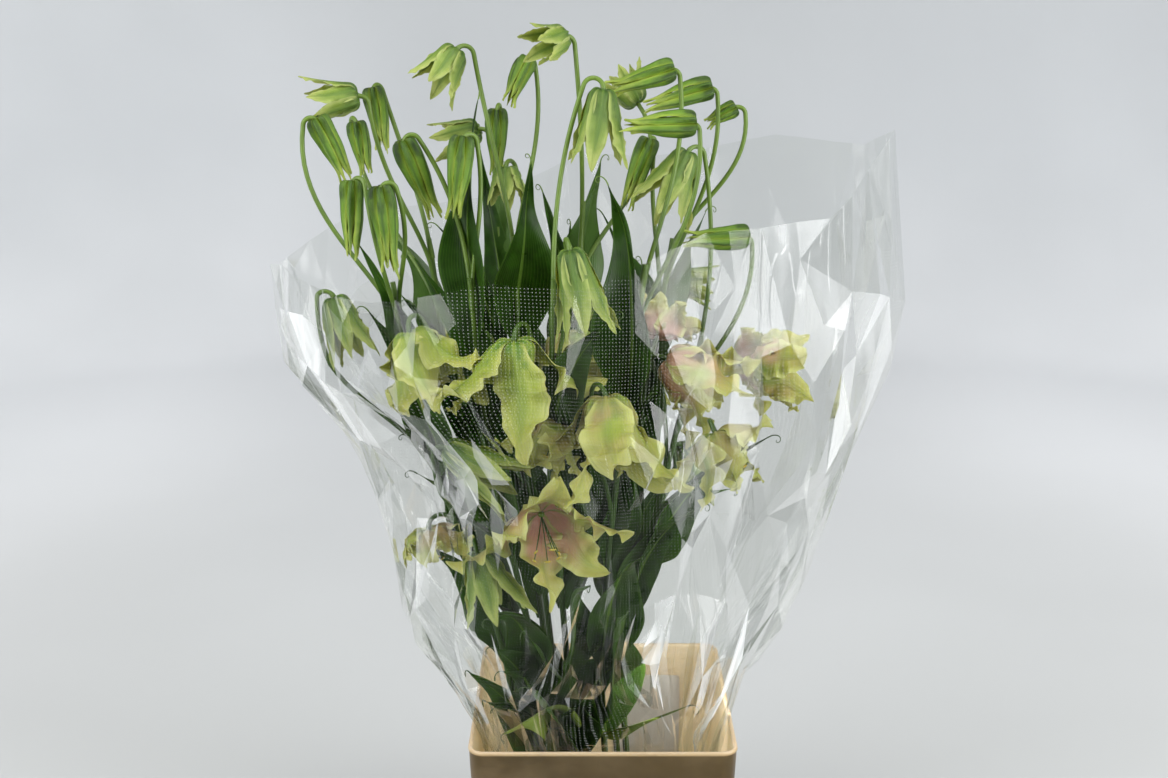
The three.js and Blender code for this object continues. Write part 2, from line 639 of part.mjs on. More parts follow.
/** A bloom whose six tepals part: they meet in one hub, and each is a thin waved blade. */
function openBloom(origin, axis, length, kind, seed) {
  const { spread, curl, half, wave, shares } = KINDS[kind];
  const skin = new Skin();
  const [u, v] = axesOf(axis);
  const size = Math.sqrt(length / 75);
  const top = skin.add(move(origin, 0.3, axis));
  const under = skin.add(move(origin, 6, axis));
  const hub = Array.from({ length: TEPALS }, (_, k) => {
    const turn = (TAU * (k + 0.5)) / TEPALS;
    return skin.add(move(origin, 2.6, axis, 3.4 * Math.cos(turn), u, 3.4 * Math.sin(turn), v));
  });
  for (let k = 0; k < TEPALS; k++) {
    const turn = (TAU * k) / TEPALS;
    const out = move(vec(0, 0, 0), Math.cos(turn), u, Math.sin(turn), v);
    const side = axis.clone().cross(out);
    const unlike = Math.sin(2.1 * k + seed); // no two tepals open alike
    const rows = midrib(
      length * (1 + 0.06 * Math.cos(1.7 * k + seed)),
      spread * (1 + 0.22 * unlike),
      curl * (1 + 0.5 * Math.cos(2.9 * k + 1.3 * seed)),
      shares,
    );
    let ring = [
      hub[(k + TEPALS - 1) % TEPALS],
      skin.add(move(origin, 4.4, axis, 3.6, out)),
      hub[k],
      skin.add(move(origin, 0.9, axis, 3.6, out)),
    ];
    skin.face(under, ring[1], ring[0]);
    skin.face(under, ring[2], ring[1]);
    skin.face(top, ring[0], ring[3]);
    skin.face(top, ring[3], ring[2]);
    rows.forEach(([radius, depth, angle], i) => {
      const share = shares[i];
      const point = move(origin, radius, out, depth, axis);
      if (share === 1) {
        const tip = skin.add(point);
        skin.band(ring, [tip]);
        return;
      }
      const slant = radians(angle);
      const face = move(vec(0, 0, 0), -Math.cos(slant), out, Math.sin(slant), axis);
      const width = Math.min(half * size * Math.sin(Math.PI * share ** 0.8) + 0.6, 0.45 * radius);
      const ruffle = wave * size * ease(share, 0.15, 0.5) * (i % 2 ? 1 : -1);
      const made = skin.ring([
        move(point, -width, side, 0.24 * width + ruffle, face),
        move(point, BLADE_THICKNESS / 2, face),
        move(point, width, side, 0.24 * width - ruffle, face),
        move(point, -BLADE_THICKNESS / 2, face),
      ]);
      skin.band(ring, made, BLADE);
      ring = made;
    });
  }
  return skin.geometry();
}

function bloomGeometry({ at, tilt, heading, length, kind }, index) {
  const origin = vec(...at);
  const axis = leaning(tilt, heading);
  return kind === "bud" ? bud(origin, axis, length) : openBloom(origin, axis, length, kind, index);
}

// ---------------------------------------------------------------- the whole bunch

const bunch = new THREE.Group();

function piece(name, geometry, colour, more = {}) {
  const material = new THREE.MeshStandardMaterial({
    color: colour,
    roughness: 0.55,
    metalness: 0,
    side: THREE.DoubleSide,
    ...more,
  });
  const mesh = new THREE.Mesh(geometry, material);
  mesh.name = name;
  bunch.add(mesh);
}

const clear = (opacity) => ({ transparent: true, opacity, roughness: 0.1 });
const stemNumbers = Object.keys(STEM_TOPS).map(Number);
const feet = stemNumbers.map((n) => {
  const line = stemLine(n);
  const [low, high] = [line.getPoint(0), line.getPoint(shareAt(line, WATER_LEVEL + 10))];
  const way = high.clone().sub(low).normalize();
  return [move(low, -8, way), move(high, 8, way)];
});

piece("bucket", bucket(), COLOURS.bucket, { roughness: 0.45 });
piece("water", water(feet), COLOURS.water, clear(0.3));
piece("label_card", card(), COLOURS.card, { roughness: 0.7 });
piece("film_sleeve", sleeve(), COLOURS.sleeve, clear(0.25));
for (const n of stemNumbers)
  piece(`stem_${String(n).padStart(2, "0")}`, leafyStem(n), COLOURS.stem);
BLOOMS.forEach((b, i) => piece(b.name, bloomGeometry(b, i), COLOURS[b.kind]));

export default bunch;
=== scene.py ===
"""Cut glory lilies in a clear film sleeve, standing in water in a square flower bucket.

Metres in the scene, millimetres in the tables below; +Z is up and -Y is the bunch's front.
"""

import heapq
import logging
import math
from dataclasses import dataclass, field
from enum import Enum
from typing import Any, Sequence

import bpy
import numpy as np
from bpy.types import Material, Mesh, NodeSocket as Socket, NodeTree, Object
from mathutils import Matrix, Vector


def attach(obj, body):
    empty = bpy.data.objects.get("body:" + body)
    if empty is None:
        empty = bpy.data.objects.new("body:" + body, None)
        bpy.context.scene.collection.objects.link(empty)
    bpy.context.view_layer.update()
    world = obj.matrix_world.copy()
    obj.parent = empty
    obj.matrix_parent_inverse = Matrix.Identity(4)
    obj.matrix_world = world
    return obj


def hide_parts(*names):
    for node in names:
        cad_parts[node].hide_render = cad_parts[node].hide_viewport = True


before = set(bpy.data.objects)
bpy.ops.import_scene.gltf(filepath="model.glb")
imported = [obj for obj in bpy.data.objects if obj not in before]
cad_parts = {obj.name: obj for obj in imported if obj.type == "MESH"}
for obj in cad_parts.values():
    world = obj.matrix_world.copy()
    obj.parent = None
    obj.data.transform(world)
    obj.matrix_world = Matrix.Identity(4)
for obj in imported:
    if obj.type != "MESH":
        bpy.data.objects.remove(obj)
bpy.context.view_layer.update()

LOG = logging.getLogger("glory_lilies")
MM = 0.001
TAU = 2 * math.pi
UP = np.array([0.0, 0.0, 1.0])
DOWN = -UP
TEPALS = 6
SHARP = math.radians(70)  # edges that bend by more than this stay sharp
Array = np.ndarray
Pair = tuple[float, float]
Spot = tuple[float, float, float]
Edge = tuple[int, int]
Facet = tuple[int, int, int]


# -------- small helpers


def unit(v: Array) -> Array:
    """The same directions with length 1."""
    return v / np.maximum(np.linalg.norm(v, axis=-1, keepdims=True), 1e-12)


def smooth(x: Array | float, a: float, b: float) -> Array | float:
    """A smooth step from 0 to 1 as x goes from a to b."""
    t = np.clip((x - a) / (b - a), 0, 1)
    return t * t * (3 - 2 * t)


def zigzag(x: Array) -> Array:
    """A triangle wave between -1 and 1 that repeats at every whole number."""
    return 4 * np.abs(x - np.floor(x) - 0.5) - 1


def bell(x: Array, width: float) -> Array:
    """1 where x is 0, falling away smoothly on both sides over this width."""
    return np.exp(-((x / width) ** 2))


def blurred(values: Array, reach: int) -> Array:
    """The values, each averaged with this many neighbours on both sides."""
    count = 2 * reach + 1
    return np.convolve(np.pad(values, reach, mode="edge"), np.ones(count) / count, mode="valid")


def unwrapped(places: Array, girth: float) -> Array:
    """The places of each facet's corners round a loop, with no jump where the loop closes."""
    last = places.max(axis=1, keepdims=True)
    return np.where(places < last - girth / 2, places + girth, places)


def leaning(tilt: float, heading: float) -> Array:
    """The unit vector at this angle from straight down, leaning to this heading, in degrees."""
    t, h = math.radians(tilt), math.radians(heading)
    return np.array([math.sin(t) * math.cos(h), math.sin(t) * math.sin(h), -math.cos(t)])


def bezier(corners: Sequence[Array], share: Array) -> tuple[Array, Array]:
    """Points of a Bezier curve and the ways it heads there.

    Args:
        corners: three or four control points.
        share: parameters from 0 to 1.

    Returns:
        The points and the unit directions, one row for each share.
    """
    t = np.asarray(share, float)[:, None]
    rows = [np.asarray(c, float)[None, :] for c in corners]
    while len(rows) > 2:
        rows = [(1 - t) * a + t * b for a, b in zip(rows, rows[1:])]
    return (1 - t) * rows[0] + t * rows[1], unit(rows[1] - rows[0])


# -------- the bunch's own numbers


class Kind(Enum):
    """How far a bloom has opened."""

    BUD = "bud"
    HALF = "half"
    OPEN = "open"


BUD, HALF, OPEN = Kind


@dataclass(frozen=True)
class Bloom:
    """One nodding bloom: where its stalk meets it, how it leans and where its stalk starts."""

    number: int
    stem: int
    kind: Kind
    at: Spot
    tilt: float  # from straight down, and the way it leans
    heading: float
    length: float
    leaves_at: float  # the height at which its stalk leaves the stem
    crook: float | None = None  # the way its crook faces; away from the bloom's lean if not given
    flush: float = 0.0  # how rosy it has aged

    @property
    def axis(self) -> Array:
        """The way its tips point."""
        return leaning(self.tilt, self.heading)


@dataclass(frozen=True)
class Leaf:
    """One clasping leaf: the height of its foot, its tip and the heading of its broad side."""

    stem: int
    z: float
    tip: Spot
    half: float  # its greatest half width
    facing: float
    rise: float  # how far up it arches, as a share of the way to its tip
    belly: Pair = (0, 0)  # how far its middle swings out
    pale: float = 0.0


# the blooms, in the order in which they are made
BLOOM_ROWS = (
    (1, 2, HALF, (-241, -4, 936), 80, 191, 60, 740),
    (2, 2, BUD, (-229, 30, 938), 14, 313, 60, 770, 60),
    (3, 2, BUD, (-252, 62, 903), 10, 0, 52, 700, 120),
    (4, 1, BUD, (-272, -50, 914), 26, 22, 63, 700, 190),
    (5, 1, BUD, (-236, -90, 858), 5, 251, 66, 680, 330),
    (6, 1, BUD, (-206, -114, 855), 6, 0, 78, 720, 20),
    (7, 3, BUD, (-189, -60, 893), 23, 20, 74, 740, 0),
    (8, 3, BUD, (-133, -78, 898), 8, 210, 72, 740, 30),
    (9, 5, HALF, (-143, 0, 980), 37, 206, 60, 760, 20),
    (10, 5, BUD, (-77, 40, 967), 39, 235, 50, 770, 50),
    (11, 7, HALF, (-38, -20, 993), 73, 216, 48, 770),
    (12, 4, BUD, (-108, 60, 915), 5, 103, 62, 730, 80),
    (13, 4, HALF, (-130, 96, 896), 69, 170, 58, 700),
    (14, 5, HALF, (-98, 32, 862), 20, 278, 48, 720, 60),
    (15, 6, HALF, (-1, -62, 945), 11, 219, 84, 720, 180),
    (16, 7, HALF, (36, 70, 925), 142, 163, 52, 740, 340),
    (17, 8, BUD, (63, -30, 962), 72, 185, 60, 740),
    (18, 9, BUD, (104, 25, 942), 73, 180, 65, 730),
    (19, 8, BUD, (81, -78, 915), 87, 180, 64, 700),
    (20, 9, BUD, (132, 36, 922), 60, 180, 32, 770),
    (21, 9, BUD, (45, 20, 888), 21, 205, 68, 700, 60),
    (22, 10, HALF, (84, 2, 881), 28, 205, 84, 660, 20),
    (23, 10, BUD, (136, -52, 805), 88, 190, 62, 620),
    (24, 6, HALF, (-32, -132, 804), 12, 345, 92, 640, 100),
    (25, 1, HALF, (-262, -60, 746), 21, 339, 74, 560, 180),
    (26, 3, OPEN, (-184, -106, 720), 20, 350, 78, 590, 60),
    (27, 6, OPEN, (-84, -128, 717), 5, 0, 106, 560, 60),
    (28, 5, OPEN, (-26, -30, 704), 6, 270, 69, 560, 110, 0.4),
    (29, 8, OPEN, (2, -126, 662), 14, 310, 108, 500, 120, 0.35),
    (30, 10, OPEN, (64, -58, 684), 60, 350, 88, 530, 140, 0.8),
    (31, 9, OPEN, (55, -18, 700), 150, 54, 44, 560, 200, 0.9),
    (32, 10, OPEN, (142, 26, 668), 100, 350, 58, 560, None, 0.9),
    (33, 9, HALF, (80, 80, 738), 80, 0, 50, 600),
    (34, 3, HALF, (-150, -124, 613), 62, 345, 92, 470),
    (35, 6, OPEN, (-61, -112, 544), 50, 285, 88, 420, 120, 0.9),
    (36, 3, HALF, (-124, -104, 500), 18, 0, 84, 400, 90),
    (37, 1, OPEN, (-178, -40, 500), 14, 330, 54, 400, 0, 0.5),
    (38, 5, HALF, (-122, -24, 704), 30, 250, 60, 590, 90),
    (39, 7, HALF, (12, 16, 744), 14, 258, 60, 600, 80),
    (40, 10, OPEN, (106, -128, 628), 30, 330, 72, 500, 90, 0.3),
    (45, 10, OPEN, (152, -36, 672), 80, 10, 62, 600, 120, 0.7),
    (46, 6, OPEN, (-44, -92, 626), 24, 210, 56, 490, 90, 0.5),
    (41, 2, OPEN, (-160, 76, 660), 35, 110, 64, 540, 290, 0.2),
    (42, 4, OPEN, (-86, 82, 590), 30, 80, 76, 470, 260, 0.2),
    (43, 7, OPEN, (16, 92, 640), 35, 70, 74, 500, 250, 0.3),
    (44, 9, HALF, (86, 62, 560), 35, 30, 80, 450, 240),
)
BLOOMS = [Bloom(*row) for row in BLOOM_ROWS]

LEAF_ROWS = (
    (1, 650, (-236, -76, 806), 15, 250, 0.4),
    (1, 560, (-226, -84, 742), 24, 265, 0.4),
    (1, 350, (-196, 14, 470), 22, 260, 0.5),
    (2, 660, (-236, 84, 800), 22, 120, 0.5),
    (2, 440, (-190, 84, 556), 25, 110, 0.6),
    (3, 700, (-114, -40, 936), 26, 255, 0.3, (-14, 0)),
    (3, 600, (-186, -58, 786), 24, 280, 0.5),
    (3, 345, (-116, -96, 432), 26, 260, 0.5),
    (4, 690, (-110, 78, 860), 24, 100, 0.4),
    (4, 380, (-128, 124, 540), 28, 100, 0.6),
    (5, 690, (-72, -40, 878), 32, 312, 0.4),
    (6, 590, (12, -112, 742), 26, 272, 0.5),
    (6, 335, (-20, -112, 474), 28, 280, 0.5),
    (6, 290, (-108, -104, 304), 25, 268, 0.34, (-8, -34), 0.85),
    (7, 700, (-6, 52, 872), 26, 80, 0.4),
    (7, 400, (-8, 120, 560), 28, 80, 0.6),
    (8, 630, (4, -84, 862), 30, 275, 0.5, (24, -24)),
    (8, 345, (40, -92, 500), 28, 290, 0.5),
    (8, 270, (90, -80, 326), 8, 290, -0.08, (0, 0), 0.35),
    (9, 660, (104, 74, 820), 24, 60, 0.4),
    (9, 400, (142, 50, 516), 24, 50, 0.6),
    (10, 440, (168, -26, 600), 22, 275, 0.3),
    (10, 380, (104, -60, 540), 20, 285, 0.5),
    # inner leaves, in the shade behind the front blooms, which the solids leave out
    (1, 440, (-192, -44, 610), 22, 250, 0.5),
    (2, 560, (-196, 6, 730), 24, 255, 0.5),
    (3, 480, (-150, -52, 650), 26, 262, 0.5),
    (4, 560, (-146, 26, 740), 28, 258, 0.5),
    (4, 430, (-96, 26, 600), 30, 268, 0.5),
    (5, 540, (-66, -46, 700), 26, 275, 0.5),
    (5, 420, (-84, -56, 590), 28, 268, 0.5),
    (7, 560, (-24, 0, 740), 28, 266, 0.5),
    (7, 450, (-8, -20, 630), 30, 270, 0.5),
    (8, 470, (44, -50, 650), 26, 285, 0.5),
    (9, 540, (84, 8, 700), 26, 280, 0.5),
    (9, 410, (56, 24, 570), 26, 275, 0.5),
    (4, 640, (-168, 34, 806), 24, 250, 0.45),
    (4, 700, (-127, 50, 884), 17, 262, 0.3),
    (7, 660, (-62, 48, 836), 26, 300, 0.4),
    (7, 640, (-28, 60, 800), 26, 250, 0.4),
    (9, 640, (-2, 66, 812), 22, 280, 0.5),
    (5, 600, (-124, -4, 760), 28, 240, 0.45),
    (5, 590, (-84, 20, 770), 28, 290, 0.45),
    (7, 540, (-18, 20, 735), 27, 272, 0.4),
    (9, 600, (40, 44, 764), 24, 300, 0.5),
    (2, 600, (-206, 22, 735), 24, 250, 0.45),
    (9, 520, (60, 30, 700), 24, 262, 0.45),
    (4, 420, (-128, 4, 610), 28, 262, 0.45),
    (6, 420, (-44, -10, 634), 28, 270, 0.45),
    (8, 430, (38, -10, 610), 26, 280, 0.45),
    (9, 390, (74, 0, 556), 26, 285, 0.45),
    (2, 380, (-192, -10, 560), 24, 255, 0.45),
    # low leaves in the bucket's mouth, which hide the stems' feet
    (3, 262, (-120, -98, 404), 30, 262, 0.45),
    (5, 252, (-72, -94, 424), 34, 268, 0.45),
    (6, 250, (-34, -100, 384), 34, 272, 0.45),
    (8, 262, (22, -96, 436), 32, 280, 0.45),
    (7, 250, (34, -70, 372), 28, 284, 0.45),
    (4, 262, (-112, -24, 430), 32, 262, 0.45),
    (4, 226, (-112, -92, 374), 30, 262, 0.45),
    (6, 226, (-76, -98, 356), 30, 268, 0.45),
    (3, 222, (-104, -100, 336), 24, 264, 0.4),
    (3, 232, (-142, -98, 376), 33, 262, 0.3),
    (5, 232, (-118, -102, 356), 33, 266, 0.3),
    (6, 236, (-4, -108, 372), 30, 272, 0.4),
)
LEAVES = [Leaf(*row) for row in LEAF_ROWS]

STEM_TOPS = {
    1: (-206, -50, 760),
    2: (-178, 34, 790),
    3: (-128, -86, 770),
    4: (-108, 52, 800),
    5: (-88, -18, 800),
    6: (-48, -92, 770),
    7: (-20, 24, 830),
    8: (40, -66, 780),
    9: (72, 38, 790),
    10: (100, -20, 700),
}


# -------- nodes and colours


def linear(colour: str) -> tuple[float, float, float, float]:
    """An sRGB hex colour as the linear values that a shader takes."""
    parts = [int(colour.lstrip("#")[i : i + 2], 16) / 255 for i in (0, 2, 4)]
    low = [c / 12.92 if c <= 0.04045 else ((c + 0.055) / 1.055) ** 2.4 for c in parts]
    return (*low, 1.0)


def add(tree: NodeTree, kind: str, feeds: dict | None = None, **settings: Any) -> Any:
    """Adds one node to a tree.

    Args:
        tree: a shader or geometry node tree.
        kind: the node's type name.
        feeds: what goes into its inputs, by name or index: a node's output socket or a value.
        settings: the node's own properties.

    Returns:
        The node.
    """
    node = tree.nodes.new(kind)
    for name, value in settings.items():
        setattr(node, name, value)
    for key, value in (feeds or {}).items():
        if isinstance(value, Socket):
            tree.links.new(value, node.inputs[key])
        else:
            node.inputs[key].default_value = value
    return node


class Paint:
    """A material being made: its tree, and short ways to the sums that its patterns need."""

    def __init__(self, name: str) -> None:
        """Starts an empty material of this name."""
        self.material = bpy.data.materials.new(name)
        self.material.use_nodes = True
        self.tree = self.material.node_tree
        self.tree.nodes.clear()

    def value(self, name: str) -> Socket:
        """The piece's own value of this name at each point."""
        return add(self.tree, "ShaderNodeAttribute", attribute_name=name).outputs[2]

    def place(self) -> Socket:
        """The point in the object, in metres."""
        return add(self.tree, "ShaderNodeTexCoord").outputs["Object"]

    def sum(self, operation: str, *terms: Any) -> Socket:
        """The result of an operation on one to three numbers or sockets."""
        feeds = dict(enumerate(terms))
        return add(self.tree, "ShaderNodeMath", feeds, operation=operation).outputs[0]

    def times(self, first: Any, *others: Any) -> Any:
        """The product of some numbers and sockets."""
        for other in others:
            first = self.sum("MULTIPLY", first, other)
        return first

    def plus(self, first: Any, second: Any) -> Socket:
        """Two numbers or sockets added up."""
        return self.sum("ADD", first, second)

    def parts(self) -> Any:
        """The point's x, y and z in the object, in metres."""
        return add(self.tree, "ShaderNodeSeparateXYZ", {0: self.place()}).outputs

    def stretched(self, where: Any, x: float, y: float, z: float) -> Socket:
        """A vector whose three parts are scaled, for patterns that run one way."""
        return add(self.tree, "ShaderNodeMapping", {0: where, 3: (x, y, z)}).outputs[0]

    def span(self, x: Any, low: float, high: float, start: float = 0.0, end: float = 1.0) -> Any:
        """x brought smoothly from between low and high to between start and end."""
        feeds = {0: x, 1: low, 2: high, 3: start, 4: end}
        node = add(self.tree, "ShaderNodeMapRange", feeds, interpolation_type="SMOOTHSTEP")
        return node.outputs[0]

    def blend(self, share: Any, first: Any, second: Any, how: str = "MIX") -> Any:
        """Two colours mixed by a share; each is a socket or an sRGB hex colour."""
        a, b = (linear(c) if isinstance(c, str) else c for c in (first, second))
        feeds = {0: share, 6: a, 7: b}
        node = add(self.tree, "ShaderNodeMix", feeds, data_type="RGBA", blend_type=how)
        return node.outputs[2]

    def noise(self, where: Any, scale: float, detail: float = 2.0, rough: float = 0.5) -> Any:
        """Smooth noise between 0 and 1 over a vector."""
        feeds = {"Vector": where, "Scale": scale, "Detail": detail, "Roughness": rough}
        return add(self.tree, "ShaderNodeTexNoise", feeds).outputs[0]

    def vector(self, x: Any = 0.0, y: Any = 0.0, z: Any = 0.0) -> Socket:
        """A vector of three numbers or sockets."""
        return add(self.tree, "ShaderNodeCombineXYZ", {0: x, 1: y, 2: z}).outputs[0]

    def relief(self, height: Any, millimetres: float, strength: float = 1.0) -> Any:
        """A bump that stands this far proud where height is 1."""
        feeds = {"Strength": strength, "Distance": millimetres * MM, "Height": height}
        return add(self.tree, "ShaderNodeBump", feeds).outputs[0]

    def finish(self, shader: Socket) -> Material:
        """Sends a shader to the output and returns the material."""
        add(self.tree, "ShaderNodeOutputMaterial", {"Surface": shader})
        return self.material

    def skin(self, **sockets: Any) -> Material:
        """Finishes with the usual shader; socket names have _ for each space."""
        feeds = {name.replace("_", " "): value for name, value in sockets.items()}
        node = add(self.tree, "ShaderNodeBsdfPrincipled", feeds)
        return self.finish(node.outputs[0])


# -------- finishes


@dataclass(frozen=True)
class TepalSkin:
    """A lily's fleshy tepal: waxy, thin and lit through, streaked lengthwise by its veins.

    The knuckle at its base is deep green, the midrib stays greener, and the margins and tips
    fade to lime or pale yellow. Where the bloom ages, rose spreads from the midrib.
    """

    name: str
    knuckle: str
    body: str
    margin: str
    tip: str
    rib: str
    rose: str = "#C08A86"
    deep: str = "#A5655F"
    green_until: float = 0.3  # the share of its length over which the knuckle's green fades
    gloss: float = 0.42

    def make(self) -> Material:
        """The finish as a material."""
        p = Paint(self.name)
        along, across, tone = p.value("along"), p.value("across"), p.value("tone")
        flush, seed = p.value("flush"), p.times(tone, 40.0)
        side = p.sum("ABSOLUTE", across)
        # veins lie 1 to 1.5 mm apart, drawn as streaks much longer than they are wide
        streaks = p.noise(p.vector(p.times(across, 7.0), along, seed), 2.6, 4.0, 0.62)
        patches = p.noise(p.place(), 55.0, 3.0, 0.6)
        fade = p.plus(along, p.span(patches, 0.3, 0.7, -0.12, 0.12))
        fade = p.plus(fade, p.span(side, 0.2, 1.0, -0.04, 0.1))
        colour = p.blend(p.span(fade, 0.02, self.green_until), self.knuckle, self.body)
        colour = p.blend(p.span(fade, 0.45, 1.05), colour, self.tip)
        edge = p.span(p.plus(side, p.span(streaks, 0.3, 0.7, -0.1, 0.1)), 0.55, 0.98)
        colour = p.blend(p.times(edge, p.span(along, 0.02, 0.2)), colour, self.margin)
        rib = p.times(p.span(side, 0.34, 0.04), p.span(along, 1.0, 0.55))
        colour = p.blend(p.times(rib, 0.85), colour, self.rib)
        colour = p.blend(p.span(streaks, 0.5, 0.72, 0.0, 0.65), colour, self.rib)
        colour = p.blend(p.span(streaks, 0.46, 0.24, 0.0, 0.45), colour, self.margin)
        warm = p.span(p.noise(p.place(), 24.0, 2.0), 0.3, 0.62)
        warm = p.times(warm, flush, p.span(along, 0.95, 0.3))
        colour = p.blend(p.times(warm, p.span(side, 1.0, 0.5)), colour, self.rose)
        vivid = p.times(warm, p.span(streaks, 0.5, 0.72))
        colour = p.blend(p.times(vivid, 0.7), colour, self.deep)
        shade = p.span(tone, 0.0, 1.0, 0.0, 0.22)
        colour = p.blend(shade, colour, self.body, "MULTIPLY")
        return p.skin(
            Base_Color=colour,
            Roughness=p.span(streaks, 0.2, 0.8, self.gloss - 0.08, self.gloss + 0.1),
            Subsurface_Weight=0.25,
            Subsurface_Radius=(1.0, 0.9, 0.3),
            Subsurface_Scale=0.003,
            Specular_IOR_Level=0.45,
            Normal=p.relief(streaks, 0.8, 1.0),
        )


@dataclass(frozen=True)
class LeafBlade:
    """A glory lily's leaf: a dark glossy cuticle over parallel veins, paler and duller below."""

    dark: str = "#122805"
    fresh: str = "#2D4E0A"
    vein: str = "#5A782A"
    below: str = "#48652A"
    pale: str = "#8FA545"

    def make(self) -> Material:
        """The finish as a material."""
        p = Paint("glossy lily leaf")
        along, across, tone = p.value("along"), p.value("across"), p.value("tone")
        patches = p.noise(p.place(), 32.0, 3.0, 0.6)
        colour = p.blend(p.span(patches, 0.3, 0.7), self.dark, self.fresh)
        colour = p.blend(p.span(tone, 0.0, 1.0, 0.0, 0.5), colour, self.dark)
        # the veins run the leaf's length, about 2 mm apart in a leaf 50 mm across
        wobble = p.span(p.noise(p.vector(across, along, tone), 5.0), 0.3, 0.7, -0.4, 0.4)
        wave = p.sum("SINE", p.plus(p.times(across, 72.0), wobble))
        veins = p.span(wave, 0.55, 1.0)
        midrib = p.span(p.sum("ABSOLUTE", across), 0.075, 0.02)
        colour = p.blend(p.times(veins, 0.14), colour, self.vein)
        colour = p.blend(p.times(midrib, 0.6), colour, self.vein)
        colour = p.blend(p.times(p.value("under"), 0.7), colour, self.below)
        colour = p.blend(p.value("flush"), colour, self.pale)
        ridge = p.plus(p.times(wave, 0.5), p.times(midrib, -1.5))
        return p.skin(
            Base_Color=colour,
            Roughness=p.span(patches, 0.2, 0.8, 0.24, 0.42),
            Subsurface_Weight=0.08,
            Subsurface_Radius=(0.6, 1.0, 0.2),
            Subsurface_Scale=0.002,
            Specular_IOR_Level=0.24,
            Coat_Weight=0.04,
            Coat_Roughness=0.22,
            Normal=p.relief(ridge, 0.2, 0.5),
        )


@dataclass(frozen=True)
class StalkSkin:
    """A smooth herbaceous stalk: a satin skin, dark at the stem's foot and fresh at the flower."""

    foot: str = "#213710"
    middle: str = "#37531A"
    tip: str = "#627C2C"

    def make(self) -> Material:
        """The finish as a material."""
        p = Paint("satin lily stalk")
        height = p.parts()[2]
        # fibres run up the stalk: stretched noise, 1 mm wide and 20 mm long
        fibres = p.noise(p.stretched(p.place(), 1.0, 1.0, 0.06), 900.0, 3.0, 0.6)
        patches = p.noise(p.place(), 40.0, 2.0)
        level = p.plus(height, p.span(patches, 0.3, 0.7, -0.06, 0.06))
        colour = p.blend(p.span(level, 0.1, 0.5), self.foot, self.middle)
        colour = p.blend(p.span(level, 0.6, 0.92), colour, self.tip)
        colour = p.blend(p.span(fibres, 0.45, 0.75, 0.0, 0.35), colour, self.foot)
        return p.skin(
            Base_Color=colour,
            Roughness=p.span(fibres, 0.2, 0.8, 0.34, 0.48),
            Specular_IOR_Level=0.5,
            Normal=p.relief(fibres, 0.15, 0.6),
        )


@dataclass(frozen=True)
class PollenSac:
    """An anther: a dry velvety sac, ochre where the pollen shows and green at its back."""

    pollen: str = "#C9A23C"
    back: str = "#8F9A3E"

    def make(self) -> Material:
        """The finish as a material."""
        p = Paint("velvety anther")
        grains = p.noise(p.place(), 1800.0, 2.0)  # grains far under 0.1 mm, drawn at 0.5 mm
        colour = p.blend(p.span(grains, 0.35, 0.65), self.back, self.pollen)
        return p.skin(Base_Color=colour, Roughness=0.8, Normal=p.relief(grains, 0.1))


